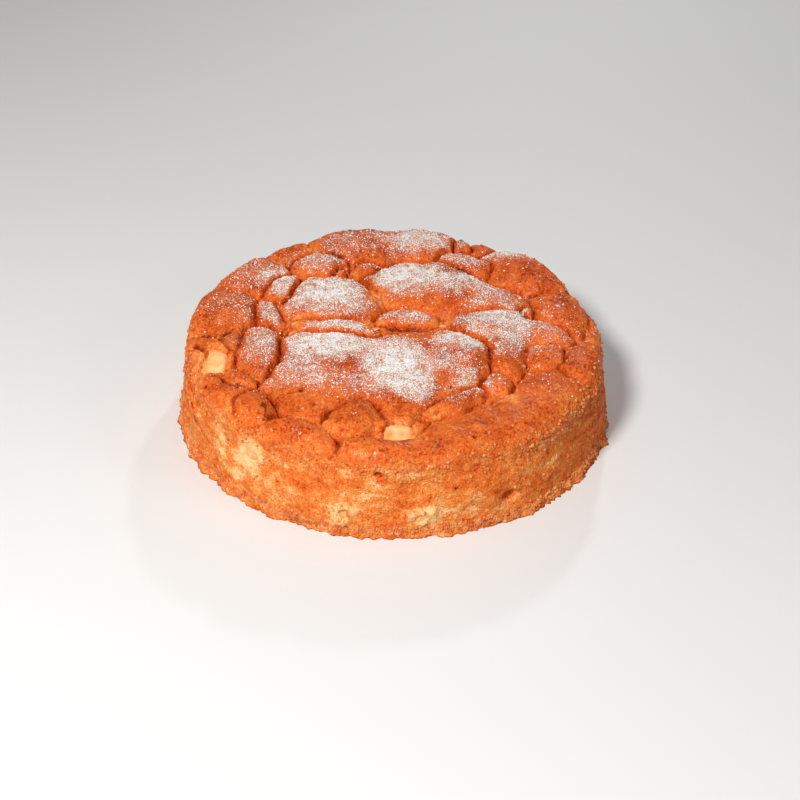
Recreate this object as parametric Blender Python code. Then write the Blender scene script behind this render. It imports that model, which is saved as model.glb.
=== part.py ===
"""An apple cake baked in a round tin: a golden sponge that rose in lobes round pieces of apple.

Run it with blender --background --python part.py. Units are metres, +Z is up, and the origin is the
middle of the flat underside.
"""

import math
from dataclasses import dataclass

import bmesh
import bpy
import numpy as np
from mathutils import Euler, Matrix, Vector, noise

# Driving sizes of the sponge.
FOOT_RADIUS = 0.1160
TOP_RADIUS = 0.1132
SHOULDER_HEIGHT = 0.0400
SHOULDER_ROUND = 0.0075
FOOT_FLARE = 0.0022
FOOT_FLARE_HEIGHT = 0.0070
SIDE_WAVE = 0.0014
SIDE_LUMP = 0.0006

# Fineness of the mesh: how often the six triangles of the top are halved, and the rows down the side.
TOP_HALVINGS = 5
SIDE_ROWS = 7

# The batter between the lobes, and how the lobes rise out of it.
BATTER_LEVEL = 0.0462
LOBE_FOOT = 0.0380
LOBE_FULLNESS = 2.1
LOBE_ROUNDNESS = 0.62
LOBE_SPREAD = 1.30
MOUND_BLEND = 6.0
CREASE_SHARPNESS = 1500.0
CREASE_DEPTH = 0.0028
CREASE_WIDTH = 0.0036
CREASE_STEP = 0.0004
LEAST_SLOPE = 0.08
OUTLINE_WANDER = 0.0040
OUTLINE_SCALE = 0.019
FINE_WANDER = 0.0015
FINE_SCALE = 0.0075
SWELL = 0.0010
SWELL_SCALE = 0.012

# Pieces of apple: how square their corners are, how uneven they are, and the room round each one.
APPLE_CUTS = 2
APPLE_SQUARENESS = 4.5
APPLE_UNEVENNESS = 0.0007
APPLE_NARROWING = 0.16
POCKET_GAP = 0.0004
SIDE_APPLE_PROUD = 0.0004

SPONGE_COLOUR = (0.62, 0.25, 0.075, 1.0)
APPLE_COLOUR = (0.86, 0.60, 0.26, 1.0)


@dataclass(frozen=True)
class Lobe:
    """One swelling of the risen batter: an elliptical pillow, seen from above. Those of one mound flow
    into each other."""

    name: str
    mound: str
    x: float
    y: float
    half_length: float
    half_width: float
    turn_deg: float
    crown: float


@dataclass(frozen=True)
class RimLobe:
    """A swelling that follows the rim: a bent pillow, placed by its bearing and radius."""

    name: str
    mound: str
    bearing_deg: float
    radius: float
    half_arc_deg: float
    half_width: float
    crown: float


LOBES = (
    # Folds that lie over the front of the broad mound.
    Lobe("front_left_fold", "front_left_fold", -0.0480, -0.0955, 0.0265, 0.0125, -27, 0.0512),
    Lobe("front_left_knob", "front_left_knob", -0.0705, -0.0720, 0.0165, 0.0150, -10, 0.0516),
    Lobe("front_knuckle", "front_knuckle", -0.0195, -0.0810, 0.0160, 0.0180, -15, 0.0526),
    # The broad mound of the front and middle.
    Lobe("broad_left", "front_mound", -0.035, -0.031, 0.031, 0.037, 0, 0.0540),
    Lobe("broad_front", "front_mound", 0.008, -0.042, 0.037, 0.031, 12, 0.0532),
    Lobe("right_front", "front_mound", 0.034, -0.026, 0.022, 0.034, -8, 0.0536),
    Lobe("left_front_slope", "front_mound", -0.046, -0.062, 0.032, 0.027, -30, 0.0500),
    Lobe("front_slope", "front_mound", 0.000, -0.069, 0.023, 0.020, 0, 0.0488),
    Lobe("mound_back", "front_mound", 0.006, -0.016, 0.034, 0.019, 6, 0.0514),
    # Folds that lie against it.
    Lobe("slim_fold", "slim_fold", 0.0300, -0.0655, 0.0265, 0.0090, 41, 0.0506),
    Lobe("small_right", "small_right", 0.0545, -0.0480, 0.0105, 0.0115, 0, 0.0510),
    Lobe("narrow_fold", "narrow_fold", -0.032, 0.001, 0.026, 0.012, -8, 0.0530),
    Lobe("small_ridge", "small_ridge", 0.006, 0.013, 0.021, 0.009, -4, 0.0512),
    Lobe("middle_left", "middle_left", -0.035, 0.030, 0.026, 0.028, 0, 0.0552),
    Lobe("middle_left_arm", "middle_left", -0.053, 0.018, 0.016, 0.012, 25, 0.0512),
    # The mound of the back and the arm that runs down its right.
    Lobe("back_middle", "back_mound", 0.018, 0.049, 0.036, 0.028, -8, 0.0550),
    Lobe("back_middle_right", "back_mound", 0.046, 0.035, 0.034, 0.019, -22, 0.0542),
    Lobe("back_fold", "back_fold", 0.041, 0.072, 0.030, 0.0125, -28, 0.0530),
    Lobe("back_middle_low", "back_middle_low", -0.017, 0.068, 0.008, 0.012, -30, 0.0516),
    Lobe("back_small_knob", "back_small_knob", -0.0317, 0.0610, 0.0065, 0.0065, 0, 0.0515),
    Lobe("right_middle", "right_arm", 0.053, 0.005, 0.025, 0.024, -15, 0.0542),
    Lobe("right_tuck", "right_arm", 0.058, -0.026, 0.014, 0.022, -8, 0.0522),
    Lobe("right_inner_fold", "right_arm", 0.083, -0.001, 0.016, 0.0145, -20, 0.0516),
    Lobe("right_shoulder", "right_shoulder", 0.068, 0.024, 0.015, 0.013, -30, 0.0512),
    # The ring between the middle and the rim.
    Lobe("left_tall", "left_tall", -0.0705, -0.0230, 0.0140, 0.0290, 4, 0.0524),
    Lobe("left_inner", "left_inner", -0.0680, 0.0130, 0.0125, 0.0160, 0, 0.0518),
    Lobe("left_plain_fold", "left_plain_fold", -0.0865, -0.0120, 0.0080, 0.0110, 0, 0.0503),
    Lobe("left_low_fold", "left_low_fold", -0.080, -0.051, 0.014, 0.015, 30, 0.0498),
    Lobe("back_left_dusted", "back_left_dusted", -0.0620, 0.0450, 0.0145, 0.0150, 0, 0.0526),
    Lobe("back_left_inner", "back_left_inner", -0.0430, 0.0680, 0.0180, 0.0150, 12, 0.0540),
    Lobe("right_front_fold", "right_front_fold", 0.0815, -0.0210, 0.0130, 0.0155, -20, 0.0514),
)

RIM_LOBES = (
    RimLobe("right", "right", 15, 0.094, 17, 0.018, 0.0530),
    RimLobe("right_ledge", "right_ledge", 14, 0.108, 24, 0.011, 0.0490),
    RimLobe("back_right", "back_right", 42, 0.099, 19, 0.025, 0.0548),
    RimLobe("back_middle", "back", 81, 0.097, 15, 0.024, 0.0552),
    RimLobe("back", "back", 104, 0.096, 18, 0.027, 0.0550),
    RimLobe("back_right_flap", "back_right_flap", 69, 0.101, 7, 0.013, 0.0524),
    RimLobe("back_right_dip", "back_right_dip", 62, 0.105, 15, 0.018, 0.0506),
    RimLobe("back_left_dip", "back_left_dip", 125, 0.106, 13, 0.018, 0.0508),
    RimLobe("back_left", "back_left", 143, 0.100, 16, 0.026, 0.0520),
    RimLobe("left", "left", 171, 0.096, 16, 0.024, 0.0528),
    RimLobe("left_pinch", "left_pinch", 194.5, 0.108, 8, 0.010, 0.0500),
    RimLobe("left_low", "front_rim", 192, 0.104, 11, 0.017, 0.0492),
    RimLobe("left_front", "front_rim", 217, 0.105, 20, 0.018, 0.0502),
    RimLobe("front", "front_rim", 264, 0.109, 27, 0.016, 0.0484),
    RimLobe("front_right", "front_rim", 298, 0.100, 25, 0.024, 0.0494),
    RimLobe("right_front", "front_rim", 325, 0.099, 22, 0.026, 0.0504),
    RimLobe("right_low", "right_low", 346, 0.102, 14, 0.019, 0.0516),
)

def slow_noise(x, y, scale, seed):
    """Smooth noise over the top, from about -1 to 1."""
    return np.array([noise.noise(Vector((a / scale, b / scale, seed))) for a, b in zip(x, y)])


def pillow(reach, crown):
    """How far a lobe rises above its foot at a reach of 0 in its middle and 1 at its outline."""
    inside = np.clip(1.0 - (reach / LOBE_SPREAD) ** LOBE_FULLNESS, 0.0, None)
    return (crown - LOBE_FOOT) * inside**LOBE_ROUNDNESS


def wander(x, y, seed):
    """How far the outlines of the lobes stray from plain ellipses, in broad and in fine waves."""
    broad = OUTLINE_WANDER * slow_noise(x, y, OUTLINE_SCALE, seed)
    return broad + FINE_WANDER * slow_noise(x, y, FINE_SCALE, seed + 20.0)


def mound_rises(east, north):
    """How far each mound of lobes rises above its foot, over points that hold the outlines' wander
    already: one row for each mound."""
    rises = []
    for lobe in LOBES:
        turn = math.radians(lobe.turn_deg)
        along = (east - lobe.x) * math.cos(turn) + (north - lobe.y) * math.sin(turn)
        across = (north - lobe.y) * math.cos(turn) - (east - lobe.x) * math.sin(turn)
        reach = np.hypot(along / lobe.half_length, across / lobe.half_width)
        rises.append(pillow(reach, lobe.crown))
    radius, bearing = np.hypot(east, north), np.arctan2(north, east)
    for lobe in RIM_LOBES:
        arc = np.angle(np.exp(1j * (bearing - math.radians(lobe.bearing_deg))))
        inward = (radius - lobe.radius) / lobe.half_width
        reach = np.hypot(arc / math.radians(lobe.half_arc_deg), inward)
        rises.append(pillow(reach, lobe.crown))
    mounds = {}
    for lobe, rise in zip(LOBES + RIM_LOBES, rises):
        mounds[lobe.mound] = mounds.get(lobe.mound, 0.0) + rise**MOUND_BLEND
    return np.array(list(mounds.values())) ** (1.0 / MOUND_BLEND)


def crust_height(x, y):
    """Height of the top crust over the points x, y, before the shoulder rounds it off."""
    east, north = x + wander(x, y, 3.1), y + wander(x, y, 9.7)
    rises = mound_rises(east, north)
    batter = math.exp(CREASE_SHARPNESS * (BATTER_LEVEL - LOBE_FOOT))
    height = LOBE_FOOT + np.log(batter + np.exp(CREASE_SHARPNESS * rises).sum(axis=0)) / CREASE_SHARPNESS
    order = np.argsort(rises, axis=0)
    spot = np.arange(len(x))

    def lead(rises):
        """How far the highest mound stands above the next one."""
        return rises[order[-1], spot] - np.maximum(rises[order[-2], spot], BATTER_LEVEL - LOBE_FOOT)

    here = lead(rises)
    slope = np.hypot(lead(mound_rises(east + CREASE_STEP, north)) - here,
                     lead(mound_rises(east, north + CREASE_STEP)) - here) / CREASE_STEP
    away = here / np.maximum(slope, LEAST_SLOPE)
    crease = np.exp(-((away / CREASE_WIDTH) ** 2))
    return height - CREASE_DEPTH * crease + SWELL * slow_noise(x, y, SWELL_SCALE, 5.3)


@dataclass(frozen=True)
class SideDent:
    """A hollow of the side, or with a depth below zero a swelling, where a fold of batter met the tin."""

    name: str
    bearing_deg: float
    height: float
    half_width: float
    half_height: float
    depth: float
    lean: float = 0.0


SIDE_DENTS = (
    SideDent("left_pleat", 197, 0.030, 0.005, 0.022, 0.0020),
    SideDent("left_bulge", 208, 0.028, 0.010, 0.018, -0.0016),
    SideDent("front_left_hollow", 233, 0.024, 0.014, 0.010, 0.0016, 0.5),
    SideDent("front_left_crease", 251, 0.026, 0.006, 0.009, 0.0015, -0.9),
    SideDent("front_swelling", 259, 0.018, 0.016, 0.010, -0.0014),
    SideDent("front_hollow", 276, 0.030, 0.013, 0.008, 0.0015),
    SideDent("front_right_swelling", 292, 0.022, 0.018, 0.010, -0.0013),
    SideDent("right_pocket", 301, 0.0135, 0.006, 0.005, 0.0026),
    SideDent("right_hollow", 322, 0.030, 0.016, 0.010, 0.0014),
    SideDent("right_swelling", 345, 0.018, 0.018, 0.012, -0.0016),
    SideDent("back_right_hollow", 20, 0.026, 0.014, 0.012, 0.0018),
    SideDent("back_right_swelling", 47, 0.020, 0.018, 0.012, -0.0014),
    SideDent("back_hollow", 83, 0.028, 0.015, 0.009, 0.0016, 0.4),
    SideDent("back_swelling", 108, 0.020, 0.020, 0.012, -0.0015),
    SideDent("back_left_crease", 133, 0.026, 0.006, 0.012, 0.0015, 0.7),
    SideDent("back_left_hollow", 160, 0.022, 0.014, 0.010, 0.0015),
)


def side_noise(bearing, height, turns, rises, seed):
    """Smooth noise round the side, from about -1 to 1, that closes on itself."""
    places = zip(turns * np.cos(bearing) + seed, turns * np.sin(bearing), rises * height)
    return np.array([noise.noise(Vector(place)) for place in places])


def side_radius(bearing, height):
    """Radius of the side at each bearing (radians) and height."""
    share = np.clip(height / SHOULDER_HEIGHT, 0.0, 1.0)
    radius = FOOT_RADIUS + (TOP_RADIUS - FOOT_RADIUS) * share**2 * (3.0 - 2.0 * share)
    radius = radius + FOOT_FLARE * np.clip(1.0 - height / FOOT_FLARE_HEIGHT, 0.0, 1.0) ** 2
    radius = radius + SIDE_WAVE * side_noise(bearing, height, 2.2, 40.0, 0.0)
    radius = radius + SIDE_LUMP * side_noise(bearing, height, 9.0, 90.0, 4.0)
    for dent in SIDE_DENTS:
        turn = np.angle(np.exp(1j * (bearing - math.radians(dent.bearing_deg))))
        up = height - dent.height
        across = turn * FOOT_RADIUS - dent.lean * up
        near = np.exp(-((across / dent.half_width) ** 2) - (up / dent.half_height) ** 2)
        radius = radius - dent.depth * near
    return radius


def disc_places(mesh):
    """Bearing and share of the radius of each vertex of a hexagon fan, spread out to a round disc."""
    sector = math.radians(60.0)
    first_corner = math.radians(30.0)
    bearing, share = [], []
    for vertex in mesh.verts:
        turn = math.atan2(vertex.co.y, vertex.co.x) - first_corner
        within = (turn % sector) - 0.5 * sector
        spoke = 0.5 + math.tan(within) / (2.0 * math.tan(0.5 * sector))
        bearing.append((math.floor(turn / sector) + spoke) * sector + first_corner)
        share.append(math.hypot(vertex.co.x, vertex.co.y) * math.cos(within) / math.cos(0.5 * sector))
    return np.array(bearing), np.clip(share, 0.0, 1.0)


def crown_of_the_sponge(bearing, share):
    """Places of the top's vertices: lobes inside, and a rounded shoulder where they meet the side."""
    flat = 1.0 - SHOULDER_ROUND / TOP_RADIUS
    arc = 0.5 * math.pi * (1.0 - flat)
    flat_share = flat / (flat + arc)
    bend = np.clip((share - flat_share) / (1.0 - flat_share), 0.0, 1.0) * 0.5 * math.pi
    inside = share / flat_share * flat
    reach = np.where(share < flat_share, inside, flat + np.sin(bend) * (1.0 - flat))
    radius = reach * side_radius(bearing, np.full(len(bearing), SHOULDER_HEIGHT))
    x, y = radius * np.cos(bearing), radius * np.sin(bearing)
    z = SHOULDER_HEIGHT + (crust_height(x, y) - SHOULDER_HEIGHT) * np.cos(bend)
    return zip(x, y, z)


def sponge_mesh(name, halvings, rows):
    """The whole sponge as one closed mesh: a fan of triangles for the top, rows of side, a flat underside."""
    mesh = bmesh.new()
    bmesh.ops.create_circle(mesh, cap_ends=True, cap_tris=True, segments=6, radius=1.0)
    for _ in range(halvings):
        bmesh.ops.subdivide_edges(mesh, edges=mesh.edges[:], cuts=1, use_grid_fill=True)
    for vertex, place in zip(mesh.verts, crown_of_the_sponge(*disc_places(mesh))):
        vertex.co = place
    rim = [edge for edge in mesh.edges if edge.is_boundary]
    for row in range(1, rows + 1):
        height = SHOULDER_HEIGHT * (1.0 - row / rows)
        made = bmesh.ops.extrude_edge_only(mesh, edges=rim)["geom"]
        lower = [part for part in made if isinstance(part, bmesh.types.BMVert)]
        rim = [part for part in made if isinstance(part, bmesh.types.BMEdge) and part.is_boundary]
        turns = np.array([math.atan2(vertex.co.y, vertex.co.x) for vertex in lower])
        radii = side_radius(turns, np.full(len(turns), height))
        for vertex, turn, radius in zip(lower, turns, radii):
            vertex.co = (radius * math.cos(turn), radius * math.sin(turn), height)
    bmesh.ops.contextual_create(mesh, geom=rim)
    bmesh.ops.recalc_face_normals(mesh, faces=mesh.faces[:])
    data = bpy.data.meshes.new(name)
    mesh.to_mesh(data)
    mesh.free()
    return data


@dataclass(frozen=True)
class ApplePiece:
    """A chunk of apple in a crease of the top: its place, how far its top stands above the lowest crust
    round it, its three sizes, and how it is turned and tipped."""

    name: str
    x: float
    y: float
    shows: float
    length: float
    width: float
    depth: float
    turn_deg: float
    tip_deg: float = 0.0


@dataclass(frozen=True)
class SideApple:
    """A chunk of apple that was pressed against the tin, so that one face lies in the side."""

    name: str
    bearing_deg: float
    height: float
    width: float
    tall: float
    depth: float
    turn_deg: float = 0.0


APPLE_PIECES = (
    ApplePiece("apple_left_rim", -0.0935, -0.0325, 0.0054, 0.0150, 0.0240, 0.013, -8, 20),
    ApplePiece("apple_front", 0.0020, -0.0880, 0.0052, 0.0190, 0.0165, 0.013, 8, 26),
    ApplePiece("apple_left_crease", -0.0535, 0.0050, 0.0030, 0.017, 0.012, 0.011, 42),
    ApplePiece("apple_middle_back", -0.0112, 0.0345, 0.0032, 0.016, 0.012, 0.011, 70),
    ApplePiece("apple_middle", -0.0105, 0.0050, 0.0032, 0.015, 0.013, 0.011, 20),
    ApplePiece("apple_right_crease", 0.0270, 0.0120, 0.0032, 0.017, 0.012, 0.011, 15),
    ApplePiece("apple_front_crease", -0.0310, -0.0905, 0.0014, 0.013, 0.011, 0.010, -35, 12),
    ApplePiece("apple_front_right", 0.0215, -0.0745, 0.0014, 0.015, 0.011, 0.010, 35, 12),
    ApplePiece("apple_right_front", 0.0600, -0.0610, 0.0012, 0.015, 0.012, 0.010, -40, 10),
    ApplePiece("apple_back_left", -0.0520, 0.0895, 0.0010, 0.016, 0.012, 0.011, -32),
)

SIDE_APPLES = (
    SideApple("apple_side_left", 231, 0.0300, 0.017, 0.015, 0.009, 30),
    SideApple("apple_side_front", 258, 0.0125, 0.012, 0.010, 0.008, -20),
    SideApple("apple_side_middle", 277.5, 0.0110, 0.009, 0.013, 0.008, 15),
    SideApple("apple_side_back", 98, 0.0240, 0.017, 0.013, 0.009, -25),
    SideApple("apple_side_back_right", 28, 0.0160, 0.014, 0.011, 0.008, 20),
)


def chunk_mesh(name, half_sizes, seed, gap=0.0):
    """A die of apple with soft corners, narrower at its foot; a gap makes the pocket for the same die."""
    mesh = bmesh.new()
    bmesh.ops.create_cube(mesh, size=2.0)
    bmesh.ops.subdivide_edges(mesh, edges=mesh.edges[:], cuts=APPLE_CUTS, use_grid_fill=True)
    for vertex in mesh.verts:
        bulk = sum(abs(side) ** APPLE_SQUARENESS for side in vertex.co) ** (1.0 / APPLE_SQUARENESS)
        way = vertex.co / bulk
        lump = APPLE_UNEVENNESS * noise.noise(way * 1.3 + Vector((seed, 0.0, 0.0)))
        narrow = 1.0 - APPLE_NARROWING * 0.5 * (1.0 - way.z)
        vertex.co = [side * (half * share + gap + lump)
                     for side, half, share in zip(way, half_sizes, (narrow, narrow, 1.0))]
    bmesh.ops.triangulate(mesh, faces=mesh.faces[:])
    bmesh.ops.recalc_face_normals(mesh, faces=mesh.faces[:])
    data = bpy.data.meshes.new(name)
    mesh.to_mesh(data)
    mesh.free()
    data.shade_smooth()
    return data


def plain_material(name, colour, roughness):
    """A Principled material of one colour."""
    material = bpy.data.materials.new(name)
    material.use_nodes = True
    shader = material.node_tree.nodes["Principled BSDF"]
    shader.inputs["Base Color"].default_value = colour
    shader.inputs["Roughness"].default_value = roughness
    material.diffuse_color = colour
    return material


def add_object(name, data, collection, parent):
    """An object for a mesh, in its collection and under its parent."""
    made = bpy.data.objects.new(name, data)
    made.parent = parent
    collection.objects.link(made)
    return made


def middle_of_the_plan():
    """Middle of the cake's box seen from above, which the origin stands under."""
    turns, heights = np.meshgrid(np.linspace(0.0, math.tau, 721), np.linspace(0.0, SHOULDER_HEIGHT, 10))
    radii = side_radius(turns.ravel(), heights.ravel())
    east, north = radii * np.cos(turns.ravel()), radii * np.sin(turns.ravel())
    return 0.5 * (east.max() + east.min()), 0.5 * (north.max() + north.min())


def place_chunk(piece, half_sizes, location, rotation, parts, cutters, parent, seed):
    """Adds one chunk of apple, and the cutter that makes its pocket in the sponge."""
    chunk = add_object(piece.name, chunk_mesh(piece.name, half_sizes, seed), parts, parent)
    colour = plain_material(piece.name, APPLE_COLOUR, 0.35)
    chunk.data.materials.append(colour)
    pocket_name = f"{piece.name}_pocket"
    pocket = add_object(pocket_name, chunk_mesh(pocket_name, half_sizes, seed, POCKET_GAP), cutters, parent)
    pocket.hide_render = True
    pocket.display_type = "WIRE"
    for made in (chunk, pocket):
        made.location = location
        made.rotation_euler = rotation


def lowest_crust(piece):
    """Lowest height of the crust over the middle of a chunk."""
    across = np.linspace(-0.3, 0.3, 9)
    east, north = np.meshgrid(piece.x + across * piece.width, piece.y + across * piece.width)
    return crust_height(east.ravel(), north.ravel()).min()


def add_top_apples(parts, cutters, parent):
    """The chunks that peek out between the lobes."""
    for seed, piece in enumerate(APPLE_PIECES):
        half_sizes = (0.5 * piece.length, 0.5 * piece.width, 0.5 * piece.depth)
        location = (piece.x, piece.y, lowest_crust(piece) + piece.shows - 0.5 * piece.depth)
        rotation = Euler((math.radians(piece.tip_deg), 0.0, math.radians(piece.turn_deg)))
        place_chunk(piece, half_sizes, location, rotation, parts, cutters, parent, 1.7 * seed)


def add_side_apples(parts, cutters, parent):
    """The chunks whose outer face lies in the side."""
    for seed, piece in enumerate(SIDE_APPLES):
        half_sizes = (0.5 * piece.width, 0.5 * piece.tall, 0.5 * piece.depth)
        bearing = math.radians(piece.bearing_deg)
        face = side_radius(np.array([bearing]), np.array([piece.height]))[0]
        reach = face + SIDE_APPLE_PROUD - 0.5 * piece.depth
        location = (reach * math.cos(bearing), reach * math.sin(bearing), piece.height)
        outward = Matrix.Rotation(bearing, 3, "Z") @ Matrix.Rotation(0.5 * math.pi, 3, "Y")
        spun = outward @ Matrix.Rotation(math.radians(piece.turn_deg), 3, "Z")
        place_chunk(piece, half_sizes, location, spun.to_euler(), parts, cutters, parent, 40.0 + 1.7 * seed)


def clear_the_scene():
    """Removes what the file opened with."""
    for old in list(bpy.data.objects):
        bpy.data.objects.remove(old)


def main():
    """Builds the sponge, its pieces of apple, and the pockets that hold them."""
    clear_the_scene()
    parts = bpy.data.collections.new("apple_cake")
    cutters = bpy.data.collections.new("pockets")
    for collection in (parts, cutters):
        bpy.context.scene.collection.children.link(collection)
    origin = bpy.data.objects.new("middle_of_the_plan", None)
    east, north = middle_of_the_plan()
    origin.location = (-east, -north, 0.0)
    parts.objects.link(origin)

    cake = add_object("cake", sponge_mesh("cake", TOP_HALVINGS, SIDE_ROWS), parts, origin)
    cake.data.materials.append(plain_material("golden_crust", SPONGE_COLOUR, 0.7))
    cake.data.shade_smooth()
    add_top_apples(parts, cutters, origin)
    add_side_apples(parts, cutters, origin)
    pockets = cake.modifiers.new("pockets", "BOOLEAN")
    pockets.operation = "DIFFERENCE"
    pockets.solver = "EXACT"
    pockets.operand_type = "COLLECTION"
    pockets.collection = cutters


if __name__ == "__main__":
    main()
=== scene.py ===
"""The looks of a whole apple cake: a baked crust round pale chunks of apple, icing sugar and crumbs.

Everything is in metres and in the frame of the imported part: +Z is up, and the origin is the middle of
the flat underside. The sponge's form comes from the same sizes as its solid.
"""

from __future__ import annotations

import logging
import math
from dataclasses import dataclass, field
from enum import Enum

import bmesh
import bpy
import numpy as np
from mathutils import Euler, Matrix, Vector, noise

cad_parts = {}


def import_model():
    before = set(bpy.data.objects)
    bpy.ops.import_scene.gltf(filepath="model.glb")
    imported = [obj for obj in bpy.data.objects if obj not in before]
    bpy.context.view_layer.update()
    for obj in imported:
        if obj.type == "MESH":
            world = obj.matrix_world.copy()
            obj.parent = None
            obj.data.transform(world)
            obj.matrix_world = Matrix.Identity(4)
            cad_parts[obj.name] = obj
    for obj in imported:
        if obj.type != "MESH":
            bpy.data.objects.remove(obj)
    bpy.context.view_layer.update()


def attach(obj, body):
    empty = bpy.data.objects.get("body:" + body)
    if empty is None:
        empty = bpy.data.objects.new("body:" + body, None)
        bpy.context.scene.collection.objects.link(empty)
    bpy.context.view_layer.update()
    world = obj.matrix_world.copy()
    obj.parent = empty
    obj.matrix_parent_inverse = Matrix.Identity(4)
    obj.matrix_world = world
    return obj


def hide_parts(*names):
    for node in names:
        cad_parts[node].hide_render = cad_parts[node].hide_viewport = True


LOG = logging.getLogger("apple_cake")

Colour = tuple[float, float, float, float]
Floats = np.ndarray


class Slot(Enum):
    """The record's material slots."""

    CRUST = "crust"
    APPLE = "apple"


class Scatter(Enum):
    """What a scattered kind of small piece is made of."""

    OCTAHEDRON = "octahedron"
    ICOSAHEDRON = "icosahedron"


# The form of the cake, as its solid has it.


@dataclass(frozen=True)
class Lobe:
    """One swelling of the risen batter: an elliptical pillow, seen from above. Those of one mound flow
    into each other."""

    name: str
    mound: str
    x: float
    y: float
    half_length: float
    half_width: float
    turn_deg: float
    crown: float


@dataclass(frozen=True)
class RimLobe:
    """A swelling that follows the rim: a bent pillow, placed by its bearing and radius."""

    name: str
    mound: str
    bearing_deg: float
    radius: float
    half_arc_deg: float
    half_width: float
    crown: float


@dataclass(frozen=True)
class SideDent:
    """A hollow of the side, or with a depth below zero a swelling, where a fold of batter met the tin."""

    name: str
    bearing_deg: float
    height: float
    half_width: float
    half_height: float
    depth: float
    lean: float = 0.0


@dataclass(frozen=True)
class ApplePiece:
    """A chunk of apple in a crease of the top: its place, how far its top stands above the lowest crust
    round it, its three sizes, and how it is turned and tipped."""

    name: str
    x: float
    y: float
    shows: float
    length: float
    width: float
    depth: float
    turn_deg: float
    tip_deg: float = 0.0
    bare: float = 0.62


@dataclass(frozen=True)
class SideApple:
    """A chunk of apple that was pressed against the tin, so that one face lies in the side."""

    name: str
    bearing_deg: float
    height: float
    width: float
    tall: float
    depth: float
    turn_deg: float = 0.0


LOBES = (
    # Folds that lie over the front of the broad mound.
    Lobe("front_left_fold", "front_left_fold", -0.0480, -0.0955, 0.0265, 0.0125, -27, 0.0512),
    Lobe("front_left_knob", "front_left_knob", -0.0705, -0.0720, 0.0165, 0.0150, -10, 0.0516),
    Lobe("front_knuckle", "front_knuckle", -0.0195, -0.0810, 0.0160, 0.0180, -15, 0.0526),
    # The broad mound of the front and middle.
    Lobe("broad_left", "front_mound", -0.035, -0.031, 0.031, 0.037, 0, 0.0540),
    Lobe("broad_front", "front_mound", 0.008, -0.042, 0.037, 0.031, 12, 0.0532),
    Lobe("right_front", "front_mound", 0.034, -0.026, 0.022, 0.034, -8, 0.0536),
    Lobe("left_front_slope", "front_mound", -0.046, -0.062, 0.032, 0.027, -30, 0.0500),
    Lobe("front_slope", "front_mound", 0.000, -0.069, 0.023, 0.020, 0, 0.0488),
    Lobe("mound_back", "front_mound", 0.006, -0.016, 0.034, 0.019, 6, 0.0514),
    # Folds that lie against it.
    Lobe("slim_fold", "slim_fold", 0.0300, -0.0655, 0.0265, 0.0090, 41, 0.0506),
    Lobe("small_right", "small_right", 0.0545, -0.0480, 0.0105, 0.0115, 0, 0.0510),
    Lobe("narrow_fold", "narrow_fold", -0.032, 0.001, 0.026, 0.012, -8, 0.0530),
    Lobe("small_ridge", "small_ridge", 0.006, 0.013, 0.021, 0.009, -4, 0.0512),
    Lobe("middle_left", "middle_left", -0.035, 0.030, 0.026, 0.028, 0, 0.0552),
    Lobe("middle_left_arm", "middle_left", -0.053, 0.018, 0.016, 0.012, 25, 0.0512),
    # The mound of the back and the arm that runs down its right.
    Lobe("back_middle", "back_mound", 0.018, 0.049, 0.036, 0.028, -8, 0.0550),
    Lobe("back_middle_right", "back_mound", 0.046, 0.035, 0.034, 0.019, -22, 0.0542),
    Lobe("back_fold", "back_fold", 0.041, 0.072, 0.030, 0.0125, -28, 0.0530),
    Lobe("back_middle_low", "back_middle_low", -0.017, 0.068, 0.008, 0.012, -30, 0.0516),
    Lobe("back_small_knob", "back_small_knob", -0.0317, 0.0610, 0.0065, 0.0065, 0, 0.0515),
    Lobe("right_middle", "right_arm", 0.053, 0.005, 0.025, 0.024, -15, 0.0542),
    Lobe("right_tuck", "right_arm", 0.058, -0.026, 0.014, 0.022, -8, 0.0522),
    Lobe("right_inner_fold", "right_arm", 0.083, -0.001, 0.016, 0.0145, -20, 0.0516),
    Lobe("right_shoulder", "right_shoulder", 0.068, 0.024, 0.015, 0.013, -30, 0.0512),
    # The ring between the middle and the rim.
    Lobe("left_tall", "left_tall", -0.0705, -0.0230, 0.0140, 0.0290, 4, 0.0524),
    Lobe("left_inner", "left_inner", -0.0680, 0.0130, 0.0125, 0.0160, 0, 0.0518),
    Lobe("left_plain_fold", "left_plain_fold", -0.0865, -0.0120, 0.0080, 0.0110, 0, 0.0503),
    Lobe("left_low_fold", "left_low_fold", -0.080, -0.051, 0.014, 0.015, 30, 0.0498),
    Lobe("back_left_dusted", "back_left_dusted", -0.0620, 0.0450, 0.0145, 0.0150, 0, 0.0526),
    Lobe("back_left_inner", "back_left_inner", -0.0430, 0.0680, 0.0180, 0.0150, 12, 0.0540),
    Lobe("right_front_fold", "right_front_fold", 0.0815, -0.0210, 0.0130, 0.0155, -20, 0.0514),
)

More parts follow.
